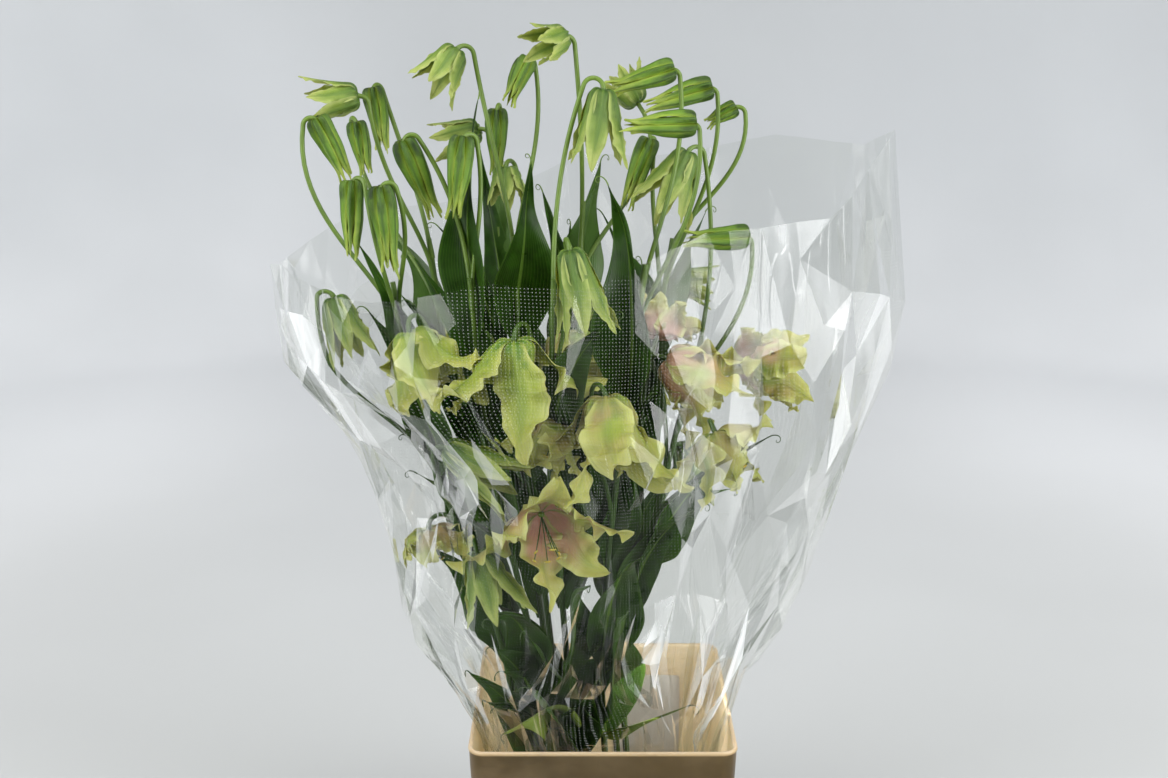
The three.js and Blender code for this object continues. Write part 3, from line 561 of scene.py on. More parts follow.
@dataclass(frozen=True)
class ClearFilm:
    """Biaxially oriented polypropylene flower film, 35 microns: glass-clear, stiff and creased.

    It shows as white mirror flashes on its facets, with painted highlights of flat white on chosen
    facets, a whitened line along each sharp crease and, on the front, a fine print of white dots.
    """

    name: str = "clear flower film"
    tint: str = "#F7F8F6"
    # the white of the print and of the creases, and of the painted highlights on chosen facets
    bruise_and_painted_highlight: str = "#F4F6F7"
    milk: float = 0.0015
    # the print: the dots' pitch in mm, how white they are and where they end, in metres
    dot_pitch: float = 3.2
    ink: float = 0.18
    dots_below: float = 0.79
    dots_before: float = -0.02

    def make(self) -> Material:
        """The finish as a material."""
        p = Paint(self.name)
        flat = add(p.tree, "ShaderNodeUVMap", uv_map="film").outputs[0]
        clear = add(p.tree, "ShaderNodeBsdfTransparent", {0: linear(self.tint)}).outputs[0]
        # stretched film is never quite flat between its creases
        waves = p.noise(p.place(), 22.0, 1.0)
        # fine creases run up the film in bundles: lines where stretched noise crosses its middle
        drawn = p.stretched(flat, 30.0, 5.0, 1.0)
        line = p.sum("ABSOLUTE", p.sum("SUBTRACT", p.noise(drawn, 1.0, 1.0), 0.5))
        bundle = p.span(p.noise(p.place(), 7.0, 1.0), 0.5, 0.62)
        line = p.times(p.span(line, 0.02, 0.0), bundle)
        bump = p.relief(p.sum("MULTIPLY_ADD", line, 0.5, waves), 1.0, 0.5)
        mirror = {"Color": (1.0, 1.0, 1.0, 1.0), "Roughness": 0.08, "Normal": bump}
        flash = add(p.tree, "ShaderNodeBsdfAnisotropic", mirror).outputs[0]
        # both faces of the film reflect, so the share is nearly twice one face's
        facing = add(p.tree, "ShaderNodeLayerWeight", {"Blend": 0.5, "Normal": bump}).outputs[1]
        share = p.sum("MULTIPLY_ADD", p.sum("POWER", facing, 3.2), 2.6, 0.02)
        share = p.sum("MINIMUM", share, 0.6)
        # in the bucket the walls keep the light off it
        _, north, height = p.parts()
        share = p.times(share, p.span(height, 0.27, 0.36, 0.3, 1.0))
        sheet = add(p.tree, "ShaderNodeMixShader", {0: share, 1: clear, 2: flash}).outputs[0]
        cells = {"Vector": flat, "Scale": 1 / (self.dot_pitch * MM), "Randomness": 0.0}
        dots = add(p.tree, "ShaderNodeTexVoronoi", cells, voronoi_dimensions="2D").outputs[0]
        below = p.span(height, self.dots_below + 0.005, self.dots_below)
        before = p.span(north, self.dots_before, self.dots_before - 0.01)
        ink = p.times(p.span(dots, 0.19, 0.12), below, before)
        cloud = p.noise(p.place(), 9.0, 3.0, 0.6)
        milk = p.span(cloud, 0.35, 0.75, 0.2 * self.milk, 1.8 * self.milk)
        # painted highlight: a facet marked with a flash is painted flat white, streaked along the
        # film
        streak = p.noise(p.stretched(flat, 26.0, 5.0, 1.0), 1.0, 3.0, 0.6)
        streak = p.span(streak, 0.36, 0.64, 0.15, 1.1)
        milk = p.plus(milk, p.times(p.value("flash"), streak))
        # painted highlight: the fine creases are painted a little white
        milk = p.plus(milk, p.times(line, 0.04))
        milk = p.sum("MAXIMUM", milk, p.times(ink, self.ink))
        white = add(p.tree, "ShaderNodeBsdfDiffuse", {0: linear(self.bruise_and_painted_highlight)}).outputs[0]
        whole = add(p.tree, "ShaderNodeMixShader", {0: milk, 1: sheet, 2: white}).outputs[0]
        return p.finish(whole)


@dataclass(frozen=True)
class BucketPlastic:
    """Injection-moulded polypropylene: satin cream, faintly mottled, scuffed along its rim.

    Its colours hold painted light: the outer wall is painted a dark brown as painted shade, the
    rim lighter as a painted highlight, and the inside a light warm ochre for the light that passes
    through the walls.
    """

    # painted shade and light: the outer wall dark, the rim lighter, the inside a light warm ochre
    wall: str = "#4E422D"
    rim: str = "#9E8A69"
    inside: str = "#E9D0B8"
    scuff: str = "#3B3122"

    def make(self) -> Material:
        """The finish as a material."""
        p = Paint("moulded bucket polypropylene")
        mottle = p.noise(p.place(), 14.0, 3.0, 0.6)
        grain = p.noise(p.place(), 1400.0, 2.0)  # spark-eroded grain of 0.2 mm, drawn at 0.7 mm
        scratches = p.noise(p.stretched(p.place(), 1.0, 1.0, 0.08), 420.0, 3.0, 0.7)
        stain = p.noise(p.stretched(p.place(), 1.0, 1.0, 3.0), 26.0, 4.0, 0.65)
        # painted shade on the outer wall, a painted highlight on the rim and painted light inside
        colour = p.blend(p.span(p.value("rim"), 0.2, 0.8), self.wall, self.rim)
        colour = p.blend(p.value("inner"), colour, self.inside)
        colour = p.blend(p.span(mottle, 0.35, 0.7, 0.0, 0.16), colour, self.rim)
        colour = p.blend(p.span(stain, 0.5, 0.78, 0.0, 0.28), colour, self.scuff)
        colour = p.blend(p.span(scratches, 0.62, 0.85, 0.0, 0.35), colour, self.scuff)
        return p.skin(
            Base_Color=colour,
            Roughness=p.span(mottle, 0.2, 0.8, 0.36, 0.5),
            Subsurface_Weight=0.7,
            Subsurface_Radius=(1.0, 0.85, 0.6),
            Subsurface_Scale=0.016,
            Specular_IOR_Level=0.5,
            Normal=p.relief(grain, 0.05, 0.5),
        )


@dataclass(frozen=True)
class CardBoard:
    """Uncoated white card: matt, with faint fibres and a little damp along its foot."""

    face: str = "#E9E4E0"
    damp: str = "#CFC4B4"

    def make(self) -> Material:
        """The finish as a material."""
        p = Paint("uncoated card")
        fibres = p.noise(p.place(), 700.0, 2.0, 0.6)
        height = p.parts()[2]
        level = p.plus(height, p.span(p.noise(p.place(), 60.0), 0.3, 0.7, -0.01, 0.01))
        colour = p.blend(p.span(level, 0.2, 0.15), self.face, self.damp)
        colour = p.blend(p.span(fibres, 0.5, 0.8, 0.0, 0.4), colour, self.damp)
        return p.skin(
            Base_Color=colour,
            Roughness=0.75,
            Subsurface_Weight=0.4,
            Subsurface_Radius=(1.0, 0.95, 0.9),
            Subsurface_Scale=0.006,
            Normal=p.relief(fibres, 0.02, 0.2),
        )


@dataclass(frozen=True)
class Water:
    """Still tap water, a little green from the stems, with a few specks on it."""

    tint: str = "#D6E4D8"
    speck: str = "#8C9C74"

    def make(self) -> Material:
        """The finish as a material."""
        p = Paint("still water")
        ripple = p.noise(p.place(), 30.0, 2.0)
        specks = p.span(p.noise(p.place(), 500.0, 2.0), 0.7, 0.78)
        return p.skin(
            Base_Color=p.blend(specks, self.tint, self.speck),
            Roughness=0.04,
            IOR=1.333,
            Transmission_Weight=0.9,
            Normal=p.relief(ripple, 0.6, 0.3),
        )


@dataclass(frozen=True)
class StudioPaint:
    """Matt emulsion with painted light: the floor paler towards the wall behind, where the lamps
    reach less, and the wall a shade greyer; painted shade greys the middle of the back.
    """

    wall: str = "#D2D5D8"
    painted_light_sweep: str = "#F0F2F5"
    floor: str = "#C0C2C2"
    middle: str = "#C7CACC"

    def make(self) -> Material:
        """The finish as a material."""
        p = Paint("matt studio floor")
        cloud = p.noise(p.place(), 1.2, 2.0)
        away = add(p.tree, "ShaderNodeVectorMath", {0: p.place()}, operation="LENGTH").outputs[1]
        away = p.plus(away, p.span(cloud, 0.3, 0.7, -0.1, 0.1))
        east, north, _ = p.parts()
        # painted light: the floor is paler further back, where the lamps light it less
        behind = p.span(north, -0.6, 1.2)
        painted_light_share = p.times(p.span(away, 0.5, 2.6), behind)
        colour = p.blend(painted_light_share, self.floor, self.painted_light_sweep)
        colour = p.blend(p.span(away, 3.0, 3.9), colour, self.wall)
        # painted shade: greyer down the middle of the back than at its sides
        middle = p.span(p.sum("ABSOLUTE", east), 0.45, 1.3, 0.5, 0.0)
        middle = p.times(middle, behind)
        colour = p.blend(middle, colour, self.middle)
        return p.skin(Base_Color=colour, Roughness=0.9, Specular_IOR_Level=0.1)


# -------- skins

VALUES = ("along", "across", "tone", "flush", "under")


class Skin:
    """Collects the shapes of one piece: points in mm, faces, and the values its finish reads."""

    def __init__(self) -> None:
        """Starts with nothing."""
        self.points: list[Array] = []
        self.faces: list[list[int]] = []
        self.values: dict[str, list[Array]] = {name: [] for name in VALUES}
        self.count = 0

    def add(self, points: Array, **values: Array | float) -> int:
        """Adds points with their values.

        Args:
            points: any array of points whose last axis is xyz.
            values: by name, a number or one for each point; 0 where not given.

        Returns:
            The index of the first point.
        """
        flat = points.reshape(-1, 3)
        first = self.count
        self.points.append(flat)
        for name in VALUES:
            value = np.broadcast_to(values.get(name, 0.0), points.shape[:-1])
            self.values[name].append(value.reshape(-1))
        self.count += len(flat)
        return first

    def quads(self, index: Array, flip: bool, wrap: bool = False) -> None:
        """Joins a grid of point indices with quads.

        Args:
            index: rows of indices.
            flip: turns the faces round.
            wrap: joins the last column to the first.
        """
        if wrap:
            index = np.concatenate([index, index[:, :1]], axis=1)
        a, b, c, d = index[:-1, :-1], index[:-1, 1:], index[1:, 1:], index[1:, :-1]
        corners = (a, d, c, b) if flip else (a, b, c, d)
        self.faces += np.stack(corners, axis=-1).reshape(-1, 4).tolist()

    def blade(self, centre: Array, face: Array, thickness: Any, **values: Any) -> None:
        """Adds a closed blade: two skins that share their rim.

        Args:
            centre: points of its middle surface, in rows from base to tip.
            face: the way its upper side looks, one for all, or for each row or point.
            thickness: its thickness, given in the same way, and 0 all round the rim.
            values: the values its finish reads, without under.
        """
        n, m = centre.shape[:2]
        face = np.broadcast_to(face, centre.shape)
        inner = np.zeros((n, m, 1))
        inner[1:-1, 1:-1] = 1
        lift = face * (np.broadcast_to(thickness, (n, m))[..., None] * inner / 2)
        rim = 1 - inner[..., 0]
        grids = {k: np.broadcast_to(v, (n, m)) for k, v in values.items()}
        first = self.add(centre + lift, under=rim * 0.5, **grids)
        upper = first + np.arange(n * m).reshape(n, m)
        cut = (slice(1, -1), slice(1, -1))
        second = self.add(
            (centre - lift)[cut], under=1.0, **{k: v[cut] for k, v in grids.items()}
        )
        lower = upper.copy()
        lower[cut] = second + np.arange((n - 2) * (m - 2)).reshape(n - 2, m - 2)
        i, j = n // 2, m // 2
        turn = np.cross(centre[i, j + 1] - centre[i, j], centre[i + 1, j] - centre[i, j])
        flip = float(turn @ face[i, j]) < 0
        self.quads(upper, flip)
        self.quads(lower, not flip)

    def spun(self, rows: Sequence[Array], **values: Any) -> None:
        """Adds a closed shape through rings of points; its two ends close to a point.

        Args:
            rows: rings of the same number of points, each with counter-clockwise points seen
                from the first ring's side.
            values: the values its finish reads.
        """
        rings = np.stack(rows)
        first = self.add(rings, **values)
        index = first + np.arange(rings.shape[0] * rings.shape[1]).reshape(rings.shape[:2])
        self.quads(index, False, wrap=True)
        for end in (0, -1):
            pole = self.add(np.mean(rings[end], axis=0)[None], **values)
            for a, b in zip(index[end].tolist(), np.roll(index[end], -1).tolist()):
                self.faces.append([pole, a, b] if end else [pole, b, a])

    def mesh(self, name: str) -> Mesh:
        """Everything collected, as one smooth mesh in metres."""
        mesh = bpy.data.meshes.new(name)
        mesh.from_pydata((np.concatenate(self.points) * MM).tolist(), [], self.faces)
        for key in VALUES:
            values = np.concatenate(self.values[key]).astype(np.float32)
            mesh.attributes.new(key, "FLOAT", "POINT").data.foreach_set("value", values)
        mesh.shade_smooth()
        mesh.set_sharp_from_angle(angle=SHARP)
        return mesh


def place(mesh: Mesh, name: str, *finishes: Material) -> Object:
    """Puts a mesh into the scene as an object at the origin, with its finishes."""
    obj = bpy.data.objects.new(name, mesh)
    bpy.context.scene.collection.objects.link(obj)
    for material in finishes:
        mesh.materials.append(material)
    return obj


def baked(obj: Object) -> Object:
    """Replaces an object by what its modifiers make of it, as a plain mesh of the same name."""
    graph = bpy.context.evaluated_depsgraph_get()
    ready = obj.evaluated_get(graph)
    mesh = bpy.data.meshes.new_from_object(ready, preserve_all_data_layers=True, depsgraph=graph)
    name = obj.name
    bpy.data.objects.remove(obj)
    return place(mesh, name)


def register(obj: Object, slot: str, *nodes: str) -> None:
    """Says what a finished piece rides on and stands for."""
    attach(obj, "root")
    if nodes:
        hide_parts(*nodes)
    LOG.info("%s: %d faces for %s", obj.name, len(obj.data.polygons), ", ".join(nodes))


# -------- geometry nodes


class Growth:
    """A geometry node tree with named inputs, applied to a piece as a plain mesh."""

    def __init__(self, name: str, inputs: dict[str, str]) -> None:
        """Starts a tree.

        Args:
            name: the tree's name.
            inputs: each input's socket type by its name.
        """
        self.tree = bpy.data.node_groups.new(name, "GeometryNodeTree")
        face = self.tree.interface
        face.new_socket("Geometry", in_out="INPUT", socket_type="NodeSocketGeometry")
        for key, kind in inputs.items():
            face.new_socket(key, in_out="INPUT", socket_type=kind)
        face.new_socket("Geometry", in_out="OUTPUT", socket_type="NodeSocketGeometry")
        self.inputs = add(self.tree, "NodeGroupInput").outputs

    def tube(self, line: Any, sides: Any, radius: Any) -> Any:
        """A round skin along a line, capped at its ends."""
        feeds = {"Resolution": sides, "Radius": 1.0}
        ring = add(self.tree, "GeometryNodeCurvePrimitiveCircle", feeds).outputs[0]
        feeds = {"Curve": line, "Profile Curve": ring, "Scale": radius, "Fill Caps": True}
        return add(self.tree, "GeometryNodeCurveToMesh", feeds).outputs[0]

    def join(self, first: Any, second: Any) -> Any:
        """Two geometries as one."""
        node = add(self.tree, "GeometryNodeJoinGeometry", {0: first})
        self.tree.links.new(second, node.inputs[0])
        return node.outputs[0]

    def dress(self, geometry: Any, material: Any, chosen: Any = True) -> Any:
        """The geometry with this material on the faces that are chosen."""
        feeds = {"Geometry": geometry, "Selection": chosen, "Material": material}
        return add(self.tree, "GeometryNodeSetMaterial", feeds).outputs[0]

    def end(self, geometry: Any, material: Any, chosen: Any) -> None:
        """Closes the tree: realizes its instances and dresses the faces that are chosen."""
        real = add(self.tree, "GeometryNodeRealizeInstances", {0: geometry}).outputs[0]
        add(self.tree, "NodeGroupOutput", {0: self.dress(real, material, chosen)})

    def apply(self, obj: Object, values: dict[str, Any]) -> Object:
        """Grows the tree on an object and keeps the result as its plain mesh.

        Args:
            obj: a mesh or curve object.
            values: the inputs' values by name.

        Returns:
            The mesh object, which has taken the first one's name and place.
        """
        modifier = obj.modifiers.new(self.tree.name, "NODES")
        modifier.node_group = self.tree
        for item in self.tree.interface.items_tree:
            if item.in_out == "INPUT" and item.name in values:
                modifier[item.identifier] = values[item.name]
        return baked(obj)


class StalkGrowth(Growth):
    """Skins a curve object's lines with round stalks and joins them to the leaves."""

    def __init__(self) -> None:
        """Builds the tree."""
        inputs = {
            "Course": "NodeSocketObject",
            "Sides": "NodeSocketInt",
            "Stalk Skin": "NodeSocketMaterial",
        }
        super().__init__("stalk_skin", inputs)
        tree, given = self.tree, self.inputs
        lines = add(tree, "GeometryNodeObjectInfo", {"Object": given["Course"]}).outputs
        radius = add(tree, "GeometryNodeInputRadius").outputs[0]
        tube = self.tube(lines["Geometry"], given["Sides"], radius)
        mark = {"Geometry": tube, "Name": "stalk", "Value": 1.0}
        tube = add(tree, "GeometryNodeStoreNamedAttribute", mark, domain="FACE").outputs[0]
        whole = self.join(given["Geometry"], tube)
        chosen = add(tree, "GeometryNodeInputNamedAttribute", {"Name": "stalk"}).outputs[0]
        self.end(whole, given["Stalk Skin"], chosen)


class StamenGrowth(Growth):
    """Sets a whorl of stamens round a bloom's hub, each a bent filament with its anther."""

    anther_shape = (0.14, 0.5, 0.12)  # its half sizes as shares of its length
    stray = 0.16  # how far a stamen strays from its even place, in radians
    nod = 0.7  # how much of that stray it also leans by

    def __init__(self) -> None:
        """Builds the tree."""
        inputs = {
            "Count": "NodeSocketInt",
            "Filament Length": "NodeSocketFloat",
            "Filament Radius": "NodeSocketFloat",
            "Lean": "NodeSocketFloat",
            "Anther Length": "NodeSocketFloat",
            "Place": "NodeSocketVector",
            "Turn": "NodeSocketRotation",
            "Anther Skin": "NodeSocketMaterial",
            "Filament Skin": "NodeSocketMaterial",
            "Seed": "NodeSocketInt",
        }
        super().__init__("stamen_whorl", inputs)
        tree, given = self.tree, self.inputs
        length = given["Filament Length"]

        def sum_of(operation: str, *terms: Any) -> Any:
            """The result of an operation on numbers."""
            feeds = dict(enumerate(terms))
            return add(tree, "ShaderNodeMath", feeds, operation=operation).outputs[0]

        def point(x: Any, y: Any, z: Any) -> Any:
            """A vector of three numbers."""
            return add(tree, "ShaderNodeCombineXYZ", {0: x, 1: y, 2: z}).outputs[0]

        start = point(0.0, 0.0, 0.0)
        middle = point(sum_of("MULTIPLY", length, 0.16), 0.0, sum_of("MULTIPLY", length, 0.6))
        end = point(sum_of("MULTIPLY", length, given["Lean"]), 0.0, length)
        bent = {"Resolution": 8, "Start": start, "Middle": middle, "End": end}
        line = add(tree, "GeometryNodeCurveQuadraticBezier", bent).outputs[0]
        stalk = self.dress(self.tube(line, 6, given["Filament Radius"]), given["Filament Skin"])
        ball = {"Segments": 8, "Rings": 7, "Radius": 1.0}
        sac = add(tree, "GeometryNodeMeshUVSphere", ball).outputs[0]
        size = point(*(sum_of("MULTIPLY", given["Anther Length"], s) for s in self.anther_shape))
        moved = {"Geometry": sac, "Translation": end, "Scale": size}
        sac = add(tree, "GeometryNodeTransform", moved).outputs[0]
        stamen = self.join(stalk, self.dress(sac, given["Anther Skin"]))
        dots = add(tree, "GeometryNodePoints", {"Count": given["Count"]}).outputs[0]
        index = add(tree, "GeometryNodeInputIndex").outputs[0]
        chance = {2: -self.stray, 3: self.stray, "Seed": given["Seed"]}
        chance = add(tree, "FunctionNodeRandomValue", chance, data_type="FLOAT").outputs[1]
        swing = sum_of("MULTIPLY_ADD", sum_of("DIVIDE", index, given["Count"]), TAU, chance)
        turned = point(0.0, sum_of("MULTIPLY", chance, self.nod), swing)
        whorl = {"Points": dots, "Instance": stamen, "Rotation": turned}
        whorl = add(tree, "GeometryNodeInstanceOnPoints", whorl).outputs[0]
        whorl = {"Geometry": whorl, "Translation": given["Place"], "Rotation": given["Turn"]}
        whorl = add(tree, "GeometryNodeTransform", whorl).outputs[0]
        self.end(self.join(given["Geometry"], whorl), given["Filament Skin"], False)


# -------- stems


@dataclass
class StemLine:
    """The centre line of a cut stem: a centripetal curve through its foot, waist and top.

    The stems fan out from a narrow waist just above the rim. Lengths are in mm, and a share says
    how far out a stem stands there compared with its top.
    """

    number: int
    top_centre: Pair = (-60.0, -20.0)
    waist_centre: Pair = (-40.0, -12.0)
    foot_centre: Pair = (-24.0, -6.0)
    foot_z: float = 2.0
    foot_share: float = 0.5
    waist_z: float = 330.0
    waist_share: float = 0.4
    bend_rise: float = 0.6  # how far up from the waist to the top the last bend is
    bend_pull: float = 0.22  # how far it is drawn in
    nudge: float = 1e-4
    halvings: int = 30

    def __post_init__(self) -> None:
        """Lays out the curve's corners."""
        top = np.array(STEM_TOPS[self.number], float)
        across = top[:2] - self.top_centre
        bend_z = self.waist_z + self.bend_rise * (top[2] - self.waist_z)
        self.corners = np.array(
            [
                [*(self.foot_centre + self.foot_share * across), self.foot_z],
                [*(self.waist_centre + self.waist_share * across), self.waist_z],
                [*(top[:2] - self.bend_pull * across), bend_z],
                top,
            ]
        )

    def point(self, share: float) -> Array:
        """The point at this share of the curve's parameter."""
        c = self.corners
        last = len(c) - 1
        at = min(max(share, 0.0), 1.0) * last
        i = min(int(at), last - 1)
        t = at - i
        before = c[i - 1] if i > 0 else 2 * c[0] - c[1]
        after = c[i + 2] if i + 2 <= last else 2 * c[last] - c[last - 1]
        p0, p1, p2, p3 = corners = (before, c[i], c[i + 1], after)
        d0, d1, d2 = (math.sqrt(np.linalg.norm(b - a)) for a, b in zip(corners, corners[1:]))
        m1 = ((p1 - p0) / d0 - (p2 - p0) / (d0 + d1) + (p2 - p1) / d1) * d1
        m2 = ((p2 - p1) / d1 - (p3 - p1) / (d1 + d2) + (p3 - p2) / d2) * d1
        low = -3 * p1 + 3 * p2 - 2 * m1 - m2
        high = 2 * p1 - 2 * p2 + m1 + m2
        return p1 + m1 * t + low * t * t + high * t * t * t

    def way(self, share: float) -> Array:
        """The direction of growth there."""
        return unit(self.point(share + self.nudge) - self.point(share - self.nudge))

    def share_at(self, height: float) -> float:
        """The share at which the stem reaches this height."""
        low, high = 0.0, 1.0
        for _ in range(self.halvings):
            middle = (low + high) / 2
            if self.point(middle)[2] < height:
                low = middle
            else:
                high = middle
        return (low + high) / 2


@dataclass
class LeafyStem:
    """A cut stem with the stalks of its blooms, its clasping leaves and their tendrils."""

    number: int
    foot_radius: float = 3.8
    top_radius: float = 2.6
    pedicel_radius: float = 2.3
    crook_radius: dict[Kind, float] = field(
        default_factory=lambda: {BUD: 7.5, HALF: 9.5, OPEN: 14.0}
    )
    crook_share: float = 0.94  # how much of its way down the stalk turns within its crook
    crook_sink: float = 0.05  # how much the crook leans down from the way it faces
    pulls: Pair = (0.42, 0.3)  # how straight a stalk leaves its crook and the stem
    swells: Pair = (0.5, 0.22)  # how much stouter it is at the stem and the bloom
    stem_steps: int = 40
    crook_steps: int = 12
    rise_steps: int = 22
    sides: int = 12
    sharp: float = 60
    leaf_grid_size: tuple[int, int] = (46, 17)
    leaf_broad: float = 24  # from this half width on, a leaf sways and turns in full
    leaf_turn: float = 36  # how far leaves turn from their headings, and twist, in degrees
    leaf_twist: float = 42
    leaf_bow: float = 0.035  # as shares of its length, how far it sways and its tip bends back
    leaf_nod: float = 0.05
    leaf_wave: float = 0.14  # as shares of its half width
    leaf_lopsided: float = 0.22
    leaf_cup: float = 0.6
    leaf_rib: float = 0.5
    leaf_thickness: float = 1.1
    tendril_steps: int = 26
    tendril_lengths: Pair = (20.0, 8.0)  # the least, and what chance adds
    tendril_turns: Pair = (2, 30)  # degrees a step: the first, and what is added
    tendril_radii: Pair = (0.75, 0.28)
    clearance: float = 0.3  # between a stalk's end and its bloom
    floor: float = 4.3  # the height of the stem's cut end

    def __post_init__(self) -> None:
        """Lays out its centre line."""
        self.line = StemLine(self.number)

    def pedicel(self, bloom: Bloom) -> tuple[Array, Array]:
        """The course of a bloom's stalk from the stem up and over its crook, and its radii."""
        leaving = -bloom.axis
        end = np.array(bloom.at, float) + self.clearance * leaving
        crook = bloom.heading + 180 if bloom.crook is None else bloom.crook
        across = leaning(90, crook) + self.crook_sink * DOWN
        across = unit(across - (across @ leaving) * leaving)
        whole = math.atan2(max(float(DOWN @ across), 1e-6), float(DOWN @ leaving))
        turn = self.crook_share * whole
        r = self.crook_radius[bloom.kind]
        a = turn * np.linspace(0, 1, self.crook_steps)[:, None]
        arc = end + r * np.sin(a) * leaving + r * (1 - np.cos(a)) * across
        foot_way = math.cos(turn) * leaving + math.sin(turn) * across
        share = self.line.share_at(bloom.leaves_at)
        root, root_way = self.line.point(share), self.line.way(share)
        foot = arc[-1]
        reach = np.linalg.norm(foot - root)
        top, low = self.pulls
        corners = [foot, foot + top * reach * foot_way, root + low * reach * root_way, root]
        rise, _ = bezier(corners, np.linspace(0, 1, self.rise_steps)[1:])
        points = np.concatenate([arc, rise])[::-1]
        along = np.linspace(0, 1, len(points))
        low, top = self.swells
        swell = 1 + low * (1 - smooth(along, 0, 0.12)) + top * smooth(along, 0.9, 1)
        return points, self.pedicel_radius * swell

    def leaf_grid(self, leaf: Leaf, skin: Skin, seed: int) -> tuple[Array, Array]:
        """Adds one cupped leaf to the skin and returns its tip and the way it points."""
        rows, columns = self.leaf_grid_size
        root = self.line.point(self.line.share_at(leaf.z))
        end = np.array(leaf.tip, float)
        reach = np.linalg.norm(end - root)
        full = leaf.half / self.leaf_broad
        bend = root + leaf.rise * reach * UP + np.array([*leaf.belly, 0.0])
        share = np.linspace(0, 1, rows) ** 1.05
        middle, way = bezier([root, bend, end], share)
        facing = leaf.facing + min(1.0, full) * self.leaf_turn * math.cos(2.1 * seed)
        side = unit(np.cross(way, leaning(90, facing)[None]))
        face = np.cross(side, way)
        # clasping at its foot, broadest below its middle and drawn out to a thread at its tip
        outline = (
            [0, 0.12, 0.28, 0.44, 0.6, 0.76, 0.9, 1],
            [0.14, 0.58, 0.98, 1.06, 0.72, 0.31, 0.1, 0.012],
        )
        width = blurred(leaf.half * np.interp(share, *outline), 2)
        width[-1] = outline[1][-1] * leaf.half
        s = np.linspace(-1, 1, columns)[None, :, None]
        w = width[:, None, None]
        q = share[:, None, None]
        # the blade sways, twists as it rises and bends back at its tip
        length = reach * min(1.0, full**2)
        sway = np.sin(TAU * (share + 0.21 * seed)) * smooth(share, 0.0, 0.3)
        sag = self.leaf_bow * length * sway - self.leaf_nod * length * smooth(share, 0.75, 1.0)
        middle = middle - sag[:, None] * face
        twist = math.radians(self.leaf_twist * math.sin(2.4 * seed + 1.0))
        turn = twist * smooth(share, 0.1, 1.0)[:, None]
        side, face = (
            np.cos(turn) * side + np.sin(turn) * face,
            np.cos(turn) * face - np.sin(turn) * side,
        )
        # the margin waves a little, one side out of step with the other
        beat = TAU * (1.7 * q + 0.25 * s + 0.13 * seed)
        wave = self.leaf_wave * leaf.half * np.sin(beat) * np.abs(s) ** 2
        # folded along its midrib, and flatter towards the tip
        cup = self.leaf_cup * w * np.abs(s) ** 1.1 * (1.15 - 0.6 * q)
        rib = -self.leaf_rib * bell(s, 0.09) * (1 - q)
        lift = cup + wave * smooth(q, 0.1, 0.35) * (1 - smooth(q, 0.85, 1)) + rib
        # one half of the blade is broader than the other
        broad = 1 + self.leaf_lopsided * math.sin(1.9 * seed) * s
        centre = middle[:, None] + s * broad * w * side[:, None] + lift * face[:, None]
        s, q = s[..., 0], q[..., 0]
        thick = self.leaf_thickness * (0.45 + 0.55 * bell(s, 0.2)) * (1 - 0.6 * q)
        values = {"along": q, "across": s, "tone": (0.37 * seed) % 1.0, "flush": leaf.pale}
        skin.blade(centre, face[:, None], thick, **values)
        return middle[-1], way[-1]

    def tendril(self, start: Array, way: Array, seed: int) -> tuple[Array, Array]:
        """A leaf tip's tendril: it runs on from the tip and curls over into a hook."""
        steps = self.tendril_steps
        least, more = self.tendril_lengths
        length = least + more * ((0.61 * seed) % 1.0)
        first, added = self.tendril_turns
        axis = unit(np.cross(way, UP + 0.3 * leaning(90, 67.0 * seed)))
        points = [start - 3.0 * way]
        heading = way.copy()
        for i in range(steps):
            angle = math.radians(first + added * (i / steps) ** 1.6)
            heading = unit(heading * math.cos(angle) - np.cross(axis, heading) * math.sin(angle))
            heading = unit(heading + 0.015 * axis)
            points.append(points[-1] + heading * length / steps)
        return np.array(points), np.linspace(*self.tendril_radii, len(points))

    def course(self, lines: list[tuple[Array, Array]]) -> Object:
        """A curve object of these lines, each with its radii."""
        curve = bpy.data.curves.new(f"course_{self.number:02d}", "CURVE")
        curve.dimensions = "3D"
        for points, radii in lines:
            spline = curve.splines.new("POLY")
            spline.points.add(len(points) - 1)
            flat = np.concatenate([points * MM, np.ones((len(points), 1))], axis=1)
            spline.points.foreach_set("co", flat.reshape(-1))
            spline.points.foreach_set("radius", radii * MM)
        obj = bpy.data.objects.new(curve.name, curve)
        bpy.context.scene.collection.objects.link(obj)
        return obj

    def build(self, growth: StalkGrowth, finishes: "Finishes", sleeve: "FilmSleeve") -> None:
        """Makes the stem as one piece.

        Args:
            growth: the tree that skins its stalks.
            finishes: every material.
            sleeve: the film that its leaves stay inside.
        """
        skin = Skin()
        share = np.linspace(self.line.share_at(self.floor), 1, self.stem_steps)
        points = np.array([self.line.point(s) for s in share])
        lines = [(points, self.foot_radius + (self.top_radius - self.foot_radius) * share)]
        lines += [self.pedicel(b) for b in BLOOMS if b.stem == self.number]
        for seed, spec in enumerate(LEAVES):
            if spec.stem == self.number:
                tip, way = self.leaf_grid(spec, skin, seed)
                lines.append(self.tendril(tip, way, seed))
        course = self.course([(sleeve.hold(points), radii) for points, radii in lines])
        skin.points = [sleeve.hold(points) for points in skin.points]
        name = f"leafy_stem_{self.number:02d}"
        host = place(skin.mesh(name), name, finishes.leaf)
        values = {"Course": course, "Sides": self.sides, "Stalk Skin": finishes.stalk}
        obj = growth.apply(host, values)
        bpy.data.objects.remove(course)
        obj.data.shade_smooth()
        obj.data.set_sharp_from_angle(angle=math.radians(self.sharp))
        register(obj, "leaf_green", f"stem_{self.number:02d}")


# -------- blooms


